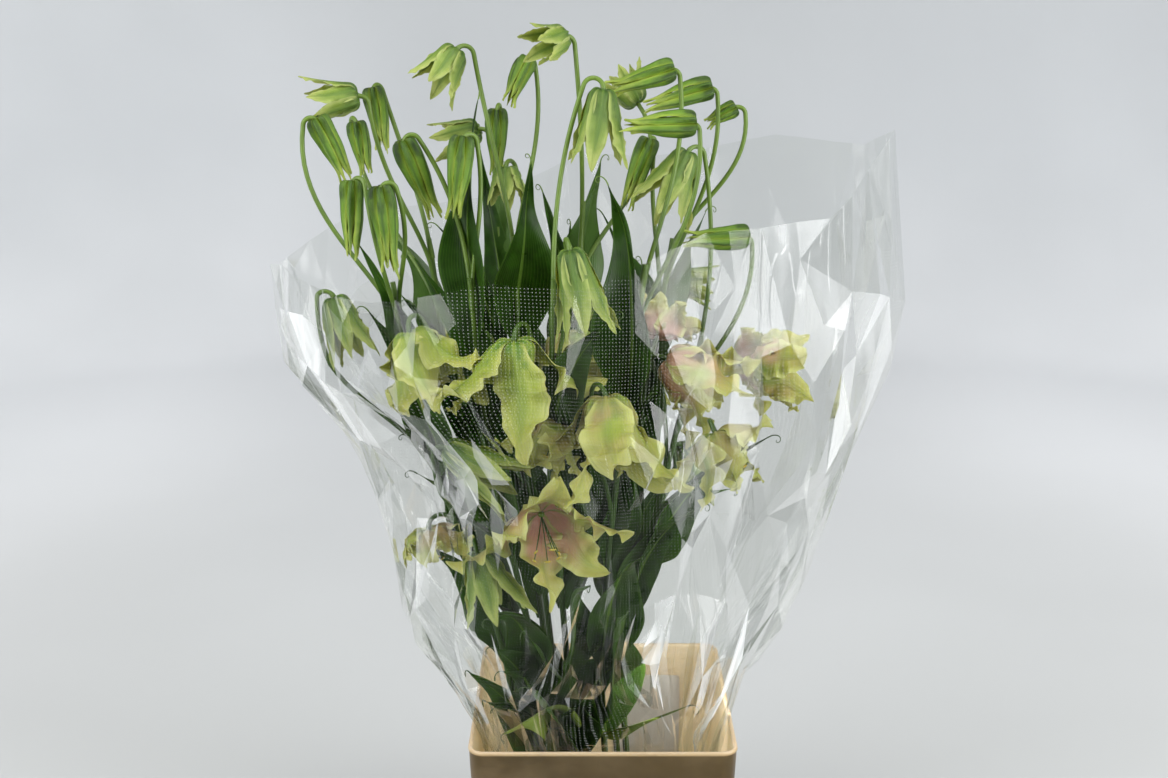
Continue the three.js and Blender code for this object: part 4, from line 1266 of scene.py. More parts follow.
@dataclass(frozen=True)
class OpenForm:
    """How a kind of bloom opens: the tepals' angles in degrees and their sizes in mm."""

    grid: tuple[int, int]
    reach: float  # a tepal's length as a share of the bloom's
    half: float  # its half width in a bloom 75 mm long
    arch: float  # the angle at which it leaves the hub, and how long it takes to straighten
    shoulder: float
    spread: float  # the angle from the axis that it then keeps, and what its tip adds
    curl: float
    stray: float  # how far chance takes it from that
    twist: float
    crowding: float  # how broad it is for its distance from the axis while its neighbours hold it
    waves: float  # the waves along its margin: their number, height, widening and crisping
    wave: float
    lobe: float
    crisp: float


FORMS = {
    HALF: OpenForm((40, 13), 1.0, 10.5, 108, 17, 11, 12, 7, 18, 0.66, 2.6, 1.9, 0.06, 0.6),
    OPEN: OpenForm((52, 17), 1.2, 18.5, 118, 28, 19, 48, 32, 80, 0.6, 3.5, 8.4, 0.1, 1.1),
}


@dataclass
class FlowerHead:
    """One bloom: six tepals round a hub, closed into a ribbed bud or parted and waved."""

    bloom: Bloom
    seed: int
    thickness: float = 1.0
    bud_length: float = 65  # the lengths that the sizes of the forms are given for
    open_length: float = 75
    bud_grid: tuple[int, int] = (40, 13)
    stamens: int = 6
    stamen_lean: float = 0.3
    filament_share: float = 0.5
    filament_radius: float = 0.55
    anther_length: float = 8
    stamens_at: float = 4

    def __post_init__(self) -> None:
        """Sets up the bloom's own directions."""
        self.origin = np.array(self.bloom.at, float)
        self.axis = self.bloom.axis
        u = UP.copy() if abs(self.axis[2]) < 0.9 else np.array([0.0, 1.0, 0.0])
        self.u = unit(u - (u @ self.axis) * self.axis)
        self.v = np.cross(self.axis, self.u)
        self.chance = np.random.default_rng(1000 + self.bloom.number)

    def out(self, turn: Array | float) -> Array:
        """The direction square to the axis at this turn."""
        turn = np.asarray(turn)[..., None]
        return np.cos(turn) * self.u + np.sin(turn) * self.v

    def hub(self, skin: Skin, radius: float, depth: float, reach: float) -> None:
        """Adds the receptacle where the tepals and the stalk meet."""
        lift = np.linspace(-0.94, 0.94, 9)
        turns = TAU * np.arange(16) / 16
        rows = [
            self.origin
            + (depth + reach * h) * self.axis
            + radius * math.sqrt(1 - h * h) * self.out(turns)
            for h in lift
        ]
        skin.spun(rows, along=0.1, across=0.3, tone=0.4)

    def bud(self, skin: Skin) -> None:
        """Adds six tepals packed into a ribbed column, knuckled at the base, free at the tips."""
        size = self.bloom.length / self.bud_length
        girth = math.sqrt(size)
        rows, columns = self.bud_grid
        # shares of the length, and the radius and the height there
        profile = (
            [0, 0.04, 0.09, 0.15, 0.24, 0.5, 0.74, 0.9, 1],
            [1.8, 3.8, 7.8, 11.6, 12.2, 10.4, 7.4, 5.4, 4.6],
            [5.0, -2.0, -6.4, -2.2, 8.0, 30.0, 47.0, 59.0, 65.0],
        )
        share = np.linspace(0, 1, rows) ** 1.15
        fine = np.linspace(0, 1, 401)
        rings = [
            np.interp(share, fine, blurred(np.interp(fine, profile[0], column), 10))
            for column in profile[1:]
        ]
        s = np.linspace(-1, 1, columns)[None, :]
        q = share[:, None]
        for k in range(TEPALS):
            inner = k % 2 == 1
            stray = self.chance.uniform(-1, 1, 4)
            reach = 1 + 0.07 * stray[0] - (0.05 if inner else 0)
            bulge = 1 + 0.09 * np.sin(TAU * (0.8 * q + 0.5 * stray[1])) * smooth(q, 0.1, 0.3)
            radius = rings[0][:, None] * girth * (0.95 if inner else 1.02) * bulge
            depth = rings[1][:, None] * size * reach
            groove = (0.33 + 0.32 * (1 - smooth(q, 0.12, 0.36))) * np.abs(s) ** 1.7
            groove = groove * smooth(q, 0.02, 0.12)
            lip = 0.07 * smooth(np.abs(s), 0.8, 1.0) * smooth(q, 0.16, 0.34)
            crest = 0.04 * bell(s, 0.16) * smooth(q, 0.06, 0.2)
            flare = (2.6 + 2.8 * stray[1]) * smooth(q, 0.68, 1.0) ** 2
            wave = 0.9 * np.sin(TAU * (3.4 * q + 0.2 * s) + 3 * stray[2]) * np.abs(s) ** 3
            r = radius * (1 - groove + lip + crest) + flare + wave * smooth(q, 0.3, 0.6)
            narrow = 1 - 0.93 * smooth(q, 0.70, 1.0) ** 1.25
            spiral = math.radians(12 + 9 * stray[3]) * smooth(q, 0.2, 1.0)
            turn = TAU * k / TEPALS + spiral + s * (TAU / TEPALS / 2) * 1.03 * narrow
            outward = self.out(turn)
            centre = self.origin + depth[..., None] * self.axis + r[..., None] * outward
            thick = self.thickness * (0.7 + 0.5 * bell(s, 0.3))
            skin.blade(centre, outward, thick, along=q, across=s, tone=self.chance.uniform())
        self.hub(skin, 2.9, 0.9 * size, 2.4)

    def parted(self, skin: Skin) -> None:
        """Adds six parted tepals, each a thin blade with waved and crisped margins."""
        form = FORMS[self.bloom.kind]
        length = self.bloom.length * form.reach
        size = math.sqrt(length / self.open_length)
        steps = np.linspace(0, 1, 241)
        share = np.linspace(0, 1, form.grid[0])
        s = np.linspace(-1, 1, form.grid[1])[None, :]
        q = share[:, None]
        edge = np.abs(s)
        left = s < 0
        for k in range(TEPALS):
            outward = self.out(TAU * k / TEPALS)
            sideways = np.cross(self.axis, outward)
            stray = self.chance.uniform(-1, 1, 8)
            reach = length * (1 + 0.06 * math.cos(1.7 * k + self.seed))
            spread = form.spread * (1 + 0.22 * math.sin(2.1 * k + self.seed))
            spread += form.stray * stray[6]
            curl = form.curl * (1 + 0.5 * math.cos(2.9 * k + 1.3 * self.seed))
            curl += form.stray * stray[7]
            over = smooth(steps, 0, min(0.42, form.shoulder / reach))
            angle = np.radians((1 - over) * form.arch + over * (spread + curl * steps**2))
            grown = reach / (len(steps) - 1)
            radius = np.interp(share, steps, 1.6 + np.cumsum(np.sin(angle)) * grown)
            depth = np.interp(share, steps, 0.5 + np.cumsum(np.cos(angle)) * grown)
            slant = np.interp(share, steps, angle)[:, None, None]
            twist = math.radians(form.twist) * stray[0] * smooth(share, 0.2, 1.0)[:, None, None]
            face = -np.cos(slant) * outward + np.sin(slant) * self.axis
            way = np.sin(slant) * outward + np.cos(slant) * self.axis
            across = np.cos(twist) * sideways + np.sin(twist) * face
            face = np.cos(twist) * face - np.sin(twist) * sideways
            full = form.half * size * np.sin(math.pi * share**0.8) ** 0.8 + 0.35
            free = form.crowding * (1 + 1.6 * smooth(share, 0.16, 0.5))
            width = np.minimum(full, free * radius)[:, None]
            grow = smooth(q, 0.15, 0.45) * (1 - 0.75 * smooth(q, 0.86, 1.0))
            # the margin is longer than the blade, so it waves, no two waves of one length
            drift = 0.05 * np.sin(TAU * (1.3 * q + 0.5 * stray[2]))
            drift = drift + 0.03 * np.sin(TAU * (3.1 * q + stray[5]))
            beat = TAU * form.waves * (q + drift) + np.where(left, 0.4, math.pi + 1.1 * stray[3])
            swell = np.sin(TAU * (0.9 * q + 0.5 * stray[4] + np.where(left, 0.0, 0.4)))
            swell = 0.68 + 0.32 * swell
            fine = TAU * 2.7 * form.waves * (q + 0.7 * drift) + np.where(left, 1.0, 2.6)
            lobes = np.cos(beat + 0.7) + 0.2 * np.sin(fine)
            width = width * (1 + form.lobe * lobes * swell * grow * edge**2)
            ruffle = form.wave * size * np.sin(beat) * swell * edge**1.6
            crisp = form.crisp * size * np.sin(fine) * edge**4
            cup = 0.24 * width * edge**1.5
            keel = -0.9 * bell(s, 0.12) * (1 - 0.7 * q)
            pleats = 0.4 * np.cos(3 * TAU * s + 3 * q) * grow * (1 - edge)
            lift = cup + (ruffle + crisp) * grow + keel + pleats
            sway = form.wave * 0.8 * size * np.sin(TAU * (1.1 * q + 0.3 * stray[5])) * grow
            centre = (
                self.origin
                + depth[:, None, None] * self.axis
                + radius[:, None, None] * outward
                + (s * width)[..., None] * across
                + lift[..., None] * face
                + (0.35 * sway)[..., None] * sideways
                + (0.10 * crisp * grow)[..., None] * way
            )
            thick = self.thickness * (0.35 + 0.55 * bell(s, 0.2))
            values = {"tone": self.chance.uniform(), "flush": self.bloom.flush}
            skin.blade(centre, face, thick, along=q, across=s, **values)
        self.hub(skin, 3.3, 2.2, 3.2)

    def build(self, finishes: "Finishes", growth: StamenGrowth, sleeve: "FilmSleeve") -> None:
        """Makes the bloom as one piece.

        Args:
            finishes: every material.
            growth: the tree that sets its stamens.
            sleeve: the film that it stays inside.
        """
        kind = self.bloom.kind
        skin = Skin()
        if kind is BUD:
            self.bud(skin)
        else:
            self.parted(skin)
        skin.points = [sleeve.hold(points) for points in skin.points]
        name = f"{kind.value}_flower_{self.bloom.number:02d}"
        tepal, slot = {
            BUD: (finishes.bud, "bud_green"),
            HALF: (finishes.half, "lime_tepal"),
            OPEN: (finishes.open, "yellow_tepal"),
        }[kind]
        obj = place(skin.mesh(name), name, tepal)
        if kind is OPEN:
            turn = Matrix(np.stack([self.u, self.v, self.axis], axis=1).tolist())
            values = {
                "Count": self.stamens,
                "Filament Length": self.filament_share * self.bloom.length * MM,
                "Filament Radius": self.filament_radius * MM,
                "Lean": self.stamen_lean,
                "Anther Length": self.anther_length * MM,
                "Place": tuple((self.origin + self.stamens_at * self.axis) * MM),
                "Turn": tuple(turn.to_euler("XYZ")),
                "Anther Skin": finishes.anther,
                "Filament Skin": finishes.stalk,
                "Seed": self.bloom.number,
            }
            obj = growth.apply(obj, values)
            obj.data.set_sharp_from_angle(angle=SHARP)
        register(obj, slot, f"bloom_{self.bloom.number:02d}")


# -------- bucket, water and card


@dataclass
class FlowerBucket:
    """A square moulded bucket with round corners, a slim rolled rim, its water and a card."""

    height: float = 300
    top_half: float = 135
    base_half: float = 122
    wall: float = 3
    floor: float = 4
    corner: float = 16
    bead_height: float = 5
    bead_growth: float = 0.8
    bead_rise: float = 2.6
    bead_steps: int = 8
    corner_steps: int = 10
    water_level: float = 60
    water_gap: float = 0.5

    def half(self, z: float) -> float:
        """Half its outer width at height z."""
        return self.base_half + (self.top_half - self.base_half) * z / self.height

    def square(self, half: float, corner: float, z: float) -> Array:
        """A ring of a square of this half width with round corners."""
        points = []
        for q in range(4):
            cx = (half - corner) * (1 if q in (0, 3) else -1)
            cy = (half - corner) * (1 if q < 2 else -1)
            for k in range(self.corner_steps + 1):
                turn = (q + k / self.corner_steps) * TAU / 4
                points.append([cx + corner * math.cos(turn), cy + corner * math.sin(turn), z])
        return np.array(points)

    def profile(self) -> list[tuple[float, float, float, float]]:
        """Rows of inset from the outer wall, height, how far inside and how near the rim."""
        top = self.height
        rows = [(3.0, 0.0, 0.0, 0.0), (1.0, 0.5, 0.0, 0.0), (0.2, 1.6, 0.0, 0.0)]
        rows += [(0.0, z, 0.0, 0.0) for z in np.linspace(4, top - self.bead_height, 16)]
        for k in range(self.bead_steps + 1):
            turn = math.pi * k / self.bead_steps
            inset = self.wall / 2 - (self.wall / 2 + self.bead_growth) * math.cos(turn)
            z = top - self.bead_rise + self.bead_rise * math.sin(turn)
            rows.append((inset, z, k / self.bead_steps, 1.0))
        rows.append((self.wall, top - self.bead_height, 1.0, 0.6))
        rows += [(self.wall, z, 1.0, 0.0) for z in np.linspace(top - 12, self.floor + 2, 14)]
        rows.append((self.wall + 0.6, self.floor + 0.6, 1.0, 0.0))
        rows.append((self.wall + 2, self.floor, 1.0, 0.0))
        return rows

    def build(self, finishes: "Finishes") -> None:
        """Makes the bucket and the water."""
        rows = self.profile()
        rings = [self.square(self.half(z) - i, self.corner - i, z) for i, z, _, _ in rows]
        skin = Skin()
        skin.spun(rings)
        mesh = skin.mesh("flower_bucket")
        around = len(rings[0])
        for name, column in (("inner", 2), ("rim", 3)):
            values = np.repeat([row[column] for row in rows], around)
            # the last two points close the outer and the inner floor
            values = np.concatenate([values, [rows[0][column], rows[-1][column]]])
            attribute = mesh.attributes.new(name, "FLOAT", "POINT")
            attribute.data.foreach_set("value", values.astype(np.float32))
        register(place(mesh, "flower_bucket", finishes.bucket), "bucket_plastic", "bucket")

        inset, level = self.wall + self.water_gap, self.water_level
        rows = [(2.0, self.floor + 0.3), (0.0, self.floor + 2), (0.0, level)]
        # its surface climbs a little at the walls
        rows += [(0.8, level - 0.5), (2.4, level - 1.1), (6, level - 1.4)]
        rings = [self.square(self.half(z) - inset - i, self.corner - inset, z) for i, z in rows]
        skin = Skin()
        skin.spun(rings)
        water = place(skin.mesh("bucket_water"), "bucket_water", finishes.water)
        register(water, "water", "water")


@dataclass
class LabelCard:
    """A blank card that leans flat on the bucket's back wall, its corners a little curled."""

    width: float = 78
    height: float = 110
    thickness: float = 0.8
    middle: float = 54
    top: float = 262
    curl: float = 1.6
    gap: float = 0.3
    grid: tuple[int, int] = (21, 15)

    def build(self, bucket: FlowerBucket, finish: Material) -> None:
        """Makes the card.

        Args:
            bucket: what it leans on.
            finish: its material.
        """
        lean = math.atan2(bucket.top_half - bucket.base_half, bucket.height)
        rows, columns = self.grid
        across, down = np.meshgrid(np.linspace(-1, 1, columns), np.linspace(0, 1, rows))
        # square corners a little worn
        worn = 1 - 0.03 * np.abs(2 * down - 1) ** 12
        stands_off = self.curl * np.abs(across) ** 3 * (0.3 + 0.7 * (1 - down) ** 2)
        back = bucket.half(self.top) - bucket.wall - self.gap - self.thickness / 2
        x = self.middle + across * worn * self.width / 2
        y = back - down * self.height * math.sin(lean) - stands_off
        z = self.top - down * self.height * math.cos(lean)
        centre = np.stack([x, y, z], axis=-1)
        skin = Skin()
        skin.blade(centre, np.array([0.0, -math.cos(lean), math.sin(lean)]), self.thickness)
        register(place(skin.mesh("blank_card"), "blank_card", finish), "card", "label_card")


# -------- sleeve


@dataclass
class Crumple:
    """A net of flat facets that is split along its longest edges, as stiff film creases.

    Lengths round the sleeve are in mm along a circle of its mean girth. Creases run upwards more
    than they run round, so a length round counts for more than one up.
    """

    girth: float
    low: float
    high: float
    columns: int = 22
    rows: int = 6
    seed: int = 5
    sway: float = 0.115
    least: float = -2.0  # how far in and how far out a spot may stand
    most: float = 15.0
    # a facet's longest edge: the usual one, and what chance, the smooth panels at the seam and at
    # the front, the waist and a crush add to it or take off it
    facet: float = 46.0
    facet_chance: float = 11.0
    facet_seam: float = 34.0
    facet_front: float = 14.0
    facet_waist: float = 18.0
    facet_crush: float = 22.0
    facet_least: float = 13.0
    # where the film is crushed: heading in degrees, height, and how far it reaches both ways
    crushes: tuple = (
        (298, 630, 12, 34),
        (296, 560, 10, 30),
        (222, 600, 12, 60),
        (10, 640, 12, 60),
        (226, 480, 8, 24),
        (236, 440, 8, 24),
        (247, 402, 8, 24),
        (258, 368, 9, 24),
        (272, 350, 10, 20),
    )

    def __post_init__(self) -> None:
        """Lays out the first net."""
        self.chance = np.random.default_rng(self.seed)
        self.spots: list[Spot] = []
        self.faces: set[Facet] = set()
        self.users: dict[Edge, set[Facet]] = {}
        step, rise = self.girth / self.columns, (self.high - self.low) / self.rows
        for j in range(self.rows + 1):
            for i in range(self.columns):
                on_seam = i in (0, self.columns // 2)
                shift = 0.0 if on_seam else step * self.chance.uniform(-0.32, 0.32)
                lift = rise * self.chance.uniform(-0.3, 0.3) if 0 < j < self.rows else 0.0
                out = 0.0 if on_seam else self.chance.uniform(-1.0, 8.0)
                spot = (i * step + shift + 1e-6, self.low + j * rise + lift, out)
                self.spots.append(spot)
        for j in range(self.rows):
            for i in range(self.columns):
                a, b = j * self.columns + i, j * self.columns + (i + 1) % self.columns
                c, d = b + self.columns, a + self.columns
                for face in ((a, b, c), (a, c, d)) if (i + j) % 2 else ((a, b, d), (b, c, d)):
                    self.put(face)

    def edges(self, face: Facet) -> list[Edge]:
        """A facet's edges, each from its older spot to its newer one."""
        return [(min(a, b), max(a, b)) for a, b in zip(face, (*face[1:], face[0]))]

    def put(self, face: Facet) -> None:
        """Adds a facet."""
        self.faces.add(face)
        for edge in self.edges(face):
            self.users.setdefault(edge, set()).add(face)

    def drop(self, face: Facet) -> None:
        """Takes a facet out."""
        self.faces.discard(face)
        for edge in self.edges(face):
            self.users[edge].discard(face)

    def span(self, edge: Edge) -> Pair:
        """How far an edge goes round and up."""
        (a0, z0, _), (a1, z1, _) = self.spots[edge[0]], self.spots[edge[1]]
        round_ = (a1 - a0 + self.girth / 2) % self.girth - self.girth / 2
        return round_, z1 - z0

    def excess(self, edge: Edge) -> float:
        """An edge's length as a share of the longest that its place allows."""
        round_, up = self.span(edge)
        a0, z0, _ = self.spots[edge[0]]
        a, z = a0 + round_ / 2, z0 + up / 2
        # crumpled hard at the waist, in patches above it, and stiff near the seams
        patch = math.sin(a / 61.0 + z / 83.0) + math.sin(a / 37.0 - z / 149.0 + 2.0)
        wide = self.facet + self.facet_chance * patch
        wide += self.facet_seam * self.stiff(a) * float(smooth(z, 500, 640))
        wide += self.facet_front * self.front(a) * float(smooth(z, 580, 680))
        wide -= self.facet_waist * float(smooth(z, 470, 360))
        wide -= self.facet_crush * self.crush(a, z)
        upright = 0.5 if z > 430 else 0.3
        return math.hypot(1.3 * round_, upright * up) / max(wide, self.facet_least)

    def crush(self, a: float, z: float) -> float:
        """How hard the film is crushed at a place: 0, or up to 1 in the middle of a crush."""
        turn = 360 * a / self.girth
        return max(
            math.exp(-(((turn - heading) / wide) ** 2) - ((z - height) / high) ** 2)
            for heading, height, wide, high in self.crushes
        )

    def stiff(self, a: float) -> float:
        """How near a place round the sleeve is to the smooth panel at its right-hand seam."""
        return math.exp(-((((a + self.girth / 2) % self.girth - self.girth / 2) / 190.0) ** 2))

    def front(self, a: float) -> float:
        """How near a place round the sleeve is to the smooth panel at its front."""
        return math.exp(-(((360 * a / self.girth - 266) / 30.0) ** 2))

    def split(self) -> None:
        """Splits the longest edges until none is too long."""
        queue = [(-self.excess(e), e) for e in sorted(self.users)]
        heapq.heapify(queue)
        while queue:
            longest, edge = heapq.heappop(queue)
            if -longest < 1:
                return
            if not self.users.get(edge):
                continue
            i, j = edge
            round_, up = self.span(edge)
            share = self.chance.uniform(0.36, 0.64)
            a0, z0, out0 = self.spots[i]
            out1 = self.spots[j][2]
            calm = 1 - 0.55 * self.stiff(a0) * float(smooth(z0, 540, 680))
            calm = calm * (1 - 0.6 * self.front(a0) * float(smooth(z0, 580, 680)))
            calm = calm * (1 + 0.9 * self.crush(a0, z0))
            drift = self.chance.normal(0, self.sway) * calm * math.hypot(round_, 0.5 * up)
            out = min(max(out0 + share * (out1 - out0) + drift, self.least), self.most)
            middle = len(self.spots)
            self.spots.append(((a0 + share * round_) % self.girth, z0 + share * up, out))
            for face in sorted(self.users[edge]):
                self.drop(face)
                turn = face.index(i)
                a, b, c = face[turn:] + face[:turn]
                first = (a, middle, c) if b == j else (a, b, middle)
                for part in (first, (middle, b, c)):
                    self.put(part)
                    for near in self.edges(part):
                        if middle in near:
                            heapq.heappush(queue, (-self.excess(near), near))


@dataclass
class FilmSleeve:
    """The clear film sleeve: drawn in at the bucket, open and stiff above it."""

    girth: float = 1500.0
    low: float = 120.0
    high: float = 820.0
    waist: float = 360.0
    crease: float = 7.0
    fin: float = 9.0  # how far the flat seams stand out at its two sides
    bend_width: float = 0.35  # of a crease, and the least angle in degrees that makes one
    bend_angle: float = 9.0
    flash_seed: int = 11
    # how far out, as a share of the way to the film, leaves and tepals may reach before it
    # presses them back, and how much further it lets them
    free: float = 0.92
    give: float = 0.05
    # painted highlights, patches of facets painted white where the film catches the light:
    # heading, height, reach both ways and how white they are
    painted_glints: tuple = (
        (315, 806, 7, 34, 0.28),
        (308, 742, 5, 26, 0.16),
        (324, 752, 5, 26, 0.24),
        (338, 716, 6, 40, 0.3),
        (334, 640, 5, 34, 0.26),
        (347, 640, 6, 44, 0.26),
        (296, 600, 5, 30, 0.22),
        (300, 400, 4, 44, 0.34),
        (316, 360, 3, 56, 0.9),
        (310, 300, 4, 40, 0.9),
        (287, 430, 3, 60, 0.75),
        (229, 445, 4, 18, 0.2),
        (240, 402, 4, 18, 0.24),
        (253, 362, 4, 16, 0.2),
        (342, 540, 5, 50, 0.24),
        (203, 696, 6, 34, 0.6),
        (229, 604, 6, 52, 0.42),
        (208, 640, 5, 44, 0.4),
        (218, 500, 5, 40, 0.3),
        (196, 720, 5, 50, 0.26),
        (20, 760, 7, 50, 0.3),
        (140, 700, 9, 40, 0.3),
        (80, 780, 8, 40, 0.25),
    )
    # its outline: height, then the left, right, front and back
    reach: tuple = (
        (120, -114, 112, -108, 108),
        (296, -129.8, 129.8, -129.8, 127),
        (362, -172, 152, -150, 140),
        (430, -212, 196, -186, 166),
        (520, -228, 232, -206, 176),
        (600, -262, 264, -214, 180),
        (640, -278, 276, -216, 182),
        (656, -316, 280, -217, 182),
        (750, -326, 290, -216, 180),
        (800, -328, 288, -212, 178),
        (910, -330, 278, -190, 162),
    )

    def top(self, turn: Array) -> Array:
        """The height of the top edge: highest at the back and at the right-hand corner."""
        corner = 32 * bell(np.sin(turn / 2), 0.2)
        level = 822 + 48 * np.cos(turn) + 33 * np.sin(turn)
        return level + corner + 11 * zigzag(7 * turn / TAU + 0.2)

    def outline(self, z: Array) -> tuple[Array, ...]:
        """The left, right, front and back at these heights, and the outline's power there.

        A power of 2 makes an oval and a higher one a square. It is square in the bucket, and
        above that a bag whose two sides meet at flat seams.
        """
        rows = np.array(self.reach, float)
        sides = (np.interp(z, rows[:, 0], rows[:, i]) for i in (1, 2, 3, 4))
        power = 2 + 1.6 * (1 - smooth(z, 300, 420)) - 0.55 * smooth(z, 430, 560)
        return *sides, power

    def base(self, turn: Array, z: Array, fold: Array) -> Array:
        """Points of the sleeve at these turns and heights, folds standing out from them."""
        left, right, front, back, power = self.outline(z)
        c, s = np.cos(turn), np.sin(turn)
        pleat = 0.6 * zigzag(9 * turn / TAU + z / 700)
        pleat = pleat + 0.4 * zigzag(5 * turn / TAU - z / 330 + 0.3)
        out = self.crease * smooth(z, 310, 480) * pleat + fold
        bent = 2 / power
        x = (left + right) / 2 + ((right - left) / 2 + out) * np.sign(c) * np.abs(c) ** bent
        y = (front + back) / 2 + ((back - front) / 2 + out) * np.sign(s) * np.abs(s) ** bent
        return np.stack([x, y, z], axis=-1)

    def hold(self, points: Array) -> Array:
        """The points, pressed back inside the sleeve where they would push through it."""
        x, y, z = (points[..., i] for i in range(3))
        left, right, front, back, power = self.outline(z)
        across = (2 * x - left - right) / (right - left)
        deep = (2 * y - front - back) / (back - front)
        far = (np.abs(across) ** power + np.abs(deep) ** power) ** (1 / power)
        over = np.maximum(far - self.free, 0.0)
        near = far - over + self.give * np.tanh(over / (2 * self.give))
        # nothing is pressed above the film's top
        share = 1 + (near / np.maximum(far, 0.1) - 1) * (1 - smooth(z, 780, 840))
        x = (left + right) / 2 + across * share * (right - left) / 2
        y = (front + back) / 2 + deep * share * (back - front) / 2
        return np.stack([x, y, z], axis=-1)

    def painted_flashes(self, net: Crumple, a: Array, z: Array, corners: Array) -> Array:
        """How white each facet is painted, as painted highlights: whole patches of them, a few at
        random.

        Args:
            net: the creased net.
            a: each corner's place round the sleeve.
            z: each corner's height.
            corners: the facets' corners.

        Returns:
            One share for each facet.
        """
        chance = np.random.default_rng(self.flash_seed)
        count = len(corners)
        round_ = unwrapped(360 * a[corners] / self.girth, 360).mean(axis=1)
        height = z[corners].mean(axis=1)
        side = smooth(np.abs(np.cos(np.radians(round_))), 0.45, 0.8) * smooth(height, 400, 470)
        # painted highlights: a few random facets at the sides, the listed patches and some in the
        # crushes
        lone = chance.random(count) < 0.06
        share = side * np.where(lone, chance.uniform(0.05, 0.22, count), 0.0)
        for turn, level, wide, high, white in self.painted_glints:
            away = (round_ - turn + 180) % 360 - 180
            inside = (away / wide) ** 2 + ((height - level) / high) ** 2 < 1
            share = np.where(inside, white * chance.uniform(0.6, 0.9, count), share)
        crushed = np.array([net.crush(u / 360 * self.girth, v) for u, v in zip(round_, height)])
        spark = (crushed > 0.4) & (chance.random(count) < 0.12)
        return np.where(spark, chance.uniform(0.06, 0.25, count), share)

    def build(self, film: Material, creased: Material) -> None:
        """Makes the sleeve as one creased sheet.

        Args:
            film: the finish of its facets.
            creased: the finish of the narrow bends between them.
        """
        net = Crumple(self.girth, self.low, self.high)
        net.split()
        a, z, out = np.array(net.spots).T
        turn = TAU * a / self.girth
        # from the waist up, heights stretch to the film's uneven top
        waist = self.waist
        stretched = waist + (z - waist) / (self.high - waist) * (self.top(turn) - waist)
        z = np.where(z > waist, stretched, z)
        seam = np.minimum(np.abs(np.sin(turn / 2)), np.abs(np.cos(turn / 2)))
        fin = self.fin * np.clip(1 - seam / 0.1, 0, 1) * smooth(z, 560, 700)
        inside = smooth(z, 380, 312)
        calm = 0.15 + 0.85 * smooth(seam, 0.0, 0.22)
        # the panel over the blooms at the front is drawn flat
        front = bell(np.degrees(turn) - 268, 26.0) * smooth(z, 500, 590)
        calm = calm * (1 - 0.6 * front)
        points = self.base(turn, z, out * calm * (1 - 2 * inside) + fin)
        skin = Skin()
        skin.add(points)
        skin.faces = [list(face) for face in sorted(net.faces)]
        mesh = skin.mesh("clear_sleeve")
        corners = np.array(skin.faces)
        # painted highlights: how white each facet is painted
        flash = mesh.attributes.new("flash", "FLOAT", "FACE")
        flash.data.foreach_set("value", self.painted_flashes(net, a, z, corners).astype(np.float32))
        uv = np.stack([unwrapped(a[corners], self.girth), z[corners]], axis=-1) * MM
        layer = mesh.uv_layers.new(name="film")
        layer.data.foreach_set("uv", uv.astype(np.float32).reshape(-1))
        obj = place(mesh, "clear_sleeve", film, creased)
        bend = obj.modifiers.new("bend", "BEVEL")
        bend.width = self.bend_width * MM
        bend.segments = 1
        bend.limit_method = "ANGLE"
        bend.angle_limit = math.radians(self.bend_angle)
        bend.material = 1
        bend.use_clamp_overlap = True
        obj = baked(obj)
        obj.data.shade_flat()
        register(obj, "clear_film", "film_sleeve")


# -------- studio


@dataclass(frozen=True)
class Softbox:
    """A rectangle of soft light, in metres: where it stands and the place it looks at."""

    name: str
    at: Spot
    size: Pair
    power: float  # in watts
    colour: str = "#FFFFFF"
    to: Spot = (-0.02, 0.0, 0.6)  # the middle of the bunch
    mirrored: bool = True  # whether the film and the leaves mirror it

    def build(self) -> None:
        """Adds it to the scene."""
        lamp = bpy.data.lights.new(self.name, "AREA")
        lamp.shape = "RECTANGLE"
        lamp.size, lamp.size_y = self.size
        lamp.energy = self.power
        lamp.color = linear(self.colour)[:3]
        obj = bpy.data.objects.new(self.name, lamp)
        bpy.context.scene.collection.objects.link(obj)
        obj.location = self.at
        way = Vector(self.to) - Vector(self.at)
        obj.rotation_euler = way.to_track_quat("-Z", "Y").to_euler()
        obj.visible_camera = False
        obj.visible_glossy = self.mirrored


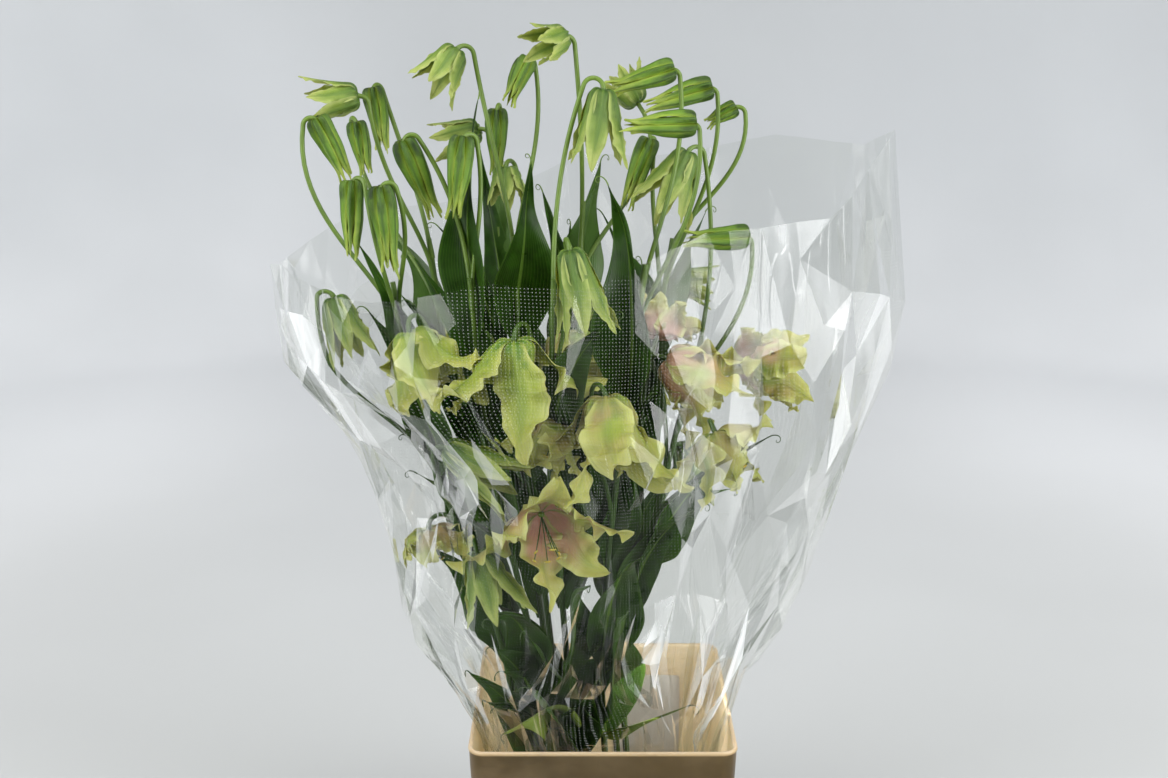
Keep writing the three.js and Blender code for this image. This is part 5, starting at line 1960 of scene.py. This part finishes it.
@dataclass
class Studio:
    """A plain pale cove, soft lights and the camera."""

    floor_radius: float = 3.0
    wall_radius: float = 3.6
    wall_height: float = 2.2
    camera_at: Spot = (-0.019, -1.514, 1.020)
    camera_pitch: float = 75.9
    lens: float = 46.8
    sensor: float = 36
    bend_steps: int = 12
    sides: int = 96
    sky: str = "#F1F1F0"
    sky_strength: float = 0.6
    lights: tuple[Softbox, ...] = (
        Softbox("softbox_right", (1.75, -1.15, 1.1), (1.0, 2.1), 52),
        Softbox("softbox_left", (-1.75, -1.2, 1.1), (1.0, 2.1), 40),
        Softbox("softbox_top", (-0.3, -0.9, 2.9), (2.0, 1.6), 35, "#FFFEFA"),
        # the light that is thrown about inside the bucket
        Softbox(
            "bounce", (0.075, -0.03, 0.335), (0.12, 0.1), 0.23, "#FFF6EA", (0.05, 0.13, 0.2), False
        ),
        Softbox("softbox_back", (0.6, 2.2, 2.2), (2.6, 1.4), 8),
    )

    def cove(self, finish: Material) -> None:
        """Makes the floor and the wall that curves up round it."""
        profile = [(0.05, 0.0), (self.floor_radius, 0.0)]
        bend = self.wall_radius - self.floor_radius
        for k in range(1, self.bend_steps + 1):
            turn = math.pi / 2 * k / self.bend_steps
            radius = self.floor_radius + bend * math.sin(turn)
            profile.append((radius, bend * (1 - math.cos(turn))))
        profile.append((self.wall_radius, self.wall_height))
        turns = TAU * np.arange(self.sides) / self.sides
        rings = [
            np.stack([r * np.cos(turns), r * np.sin(turns), np.full_like(turns, h)], axis=-1)
            for r, h in profile
        ]
        skin = Skin()
        first = skin.add(np.stack(rings) / MM)
        index = first + np.arange(len(profile) * self.sides).reshape(-1, self.sides)
        skin.quads(index, True, wrap=True)
        middle = skin.add(np.zeros((1, 3)))
        for a, b in zip(index[0].tolist(), np.roll(index[0], -1).tolist()):
            skin.faces.append([middle, a, b])
        # only the half behind the bunch shows in the film, as in a room that is dark in front
        north = np.concatenate(skin.points)[:, 1]
        faces = skin.faces
        for name, behind in (("studio_cove_back", True), ("studio_cove_front", False)):
            skin.faces = [face for face in faces if (np.mean(north[face]) > 0) == behind]
            cove = place(skin.mesh(name), name, finish)
            cove.visible_glossy = behind

    def build(self, finish: Material) -> None:
        """Sets up everything."""
        scene = bpy.context.scene
        self.cove(finish)
        world = bpy.data.worlds.new("pale sky")
        scene.world = world
        world.use_nodes = True
        world.node_tree.nodes.clear()
        feeds = {"Color": linear(self.sky), "Strength": self.sky_strength}
        sky = add(world.node_tree, "ShaderNodeBackground", feeds).outputs[0]
        add(world.node_tree, "ShaderNodeOutputWorld", {0: sky})
        world.cycles_visibility.glossy = False
        for light in self.lights:
            light.build()
        scene.view_settings.view_transform = "Standard"
        camera = bpy.data.cameras.new("camera")
        camera.lens = self.lens
        camera.sensor_width = self.sensor
        camera.clip_start = 0.05
        obj = bpy.data.objects.new("camera", camera)
        scene.collection.objects.link(obj)
        obj.location = self.camera_at
        obj.rotation_euler = (math.radians(self.camera_pitch), 0, 0)
        scene.camera = obj


# -------- the whole bunch


class Finishes:
    """Every material of the bunch."""

    def __init__(self) -> None:
        """Makes them all."""
        green = ("#1A3406", "#668A20", "#93AA36", "#AEBC58", "#406218")
        lime = ("#2E5210", "#768E36", "#A2AF60", "#AAB464", "#557424")
        pale = ("#527A22", "#98A544", "#BFC172", "#BFBB66", "#84983A", "#C58A7E", "#AE6A66")
        self.bud = TepalSkin("green bud tepal", *green, green_until=0.4).make()
        self.half = TepalSkin("lime tepal", *lime, green_until=0.56).make()
        self.open = TepalSkin("pale yellow tepal", *pale, green_until=0.42).make()
        self.leaf = LeafBlade().make()
        self.stalk = StalkSkin().make()
        self.anther = PollenSac().make()
        self.film = ClearFilm().make()
        self.creased = ClearFilm(name="bent flower film", milk=0.05).make()
        self.bucket = BucketPlastic().make()
        self.card = CardBoard().make()
        self.water = Water().make()
        self.floor = StudioPaint().make()


def main() -> None:
    """Builds the bunch from the bucket up, then the studio round it."""
    logging.basicConfig(level=logging.INFO, format="%(name)s: %(message)s")
    finishes = Finishes()
    bucket = FlowerBucket()
    bucket.build(finishes)
    LabelCard().build(bucket, finishes.card)
    sleeve = FilmSleeve()
    stalks = StalkGrowth()
    for number in STEM_TOPS:
        LeafyStem(number).build(stalks, finishes, sleeve)
    stamens = StamenGrowth()
    for seed, bloom in enumerate(BLOOMS):
        FlowerHead(bloom, seed).build(finishes, stamens, sleeve)
    sleeve.build(finishes.film, finishes.creased)
    Studio().build(finishes.floor)


if __name__ == "__main__":
    main()
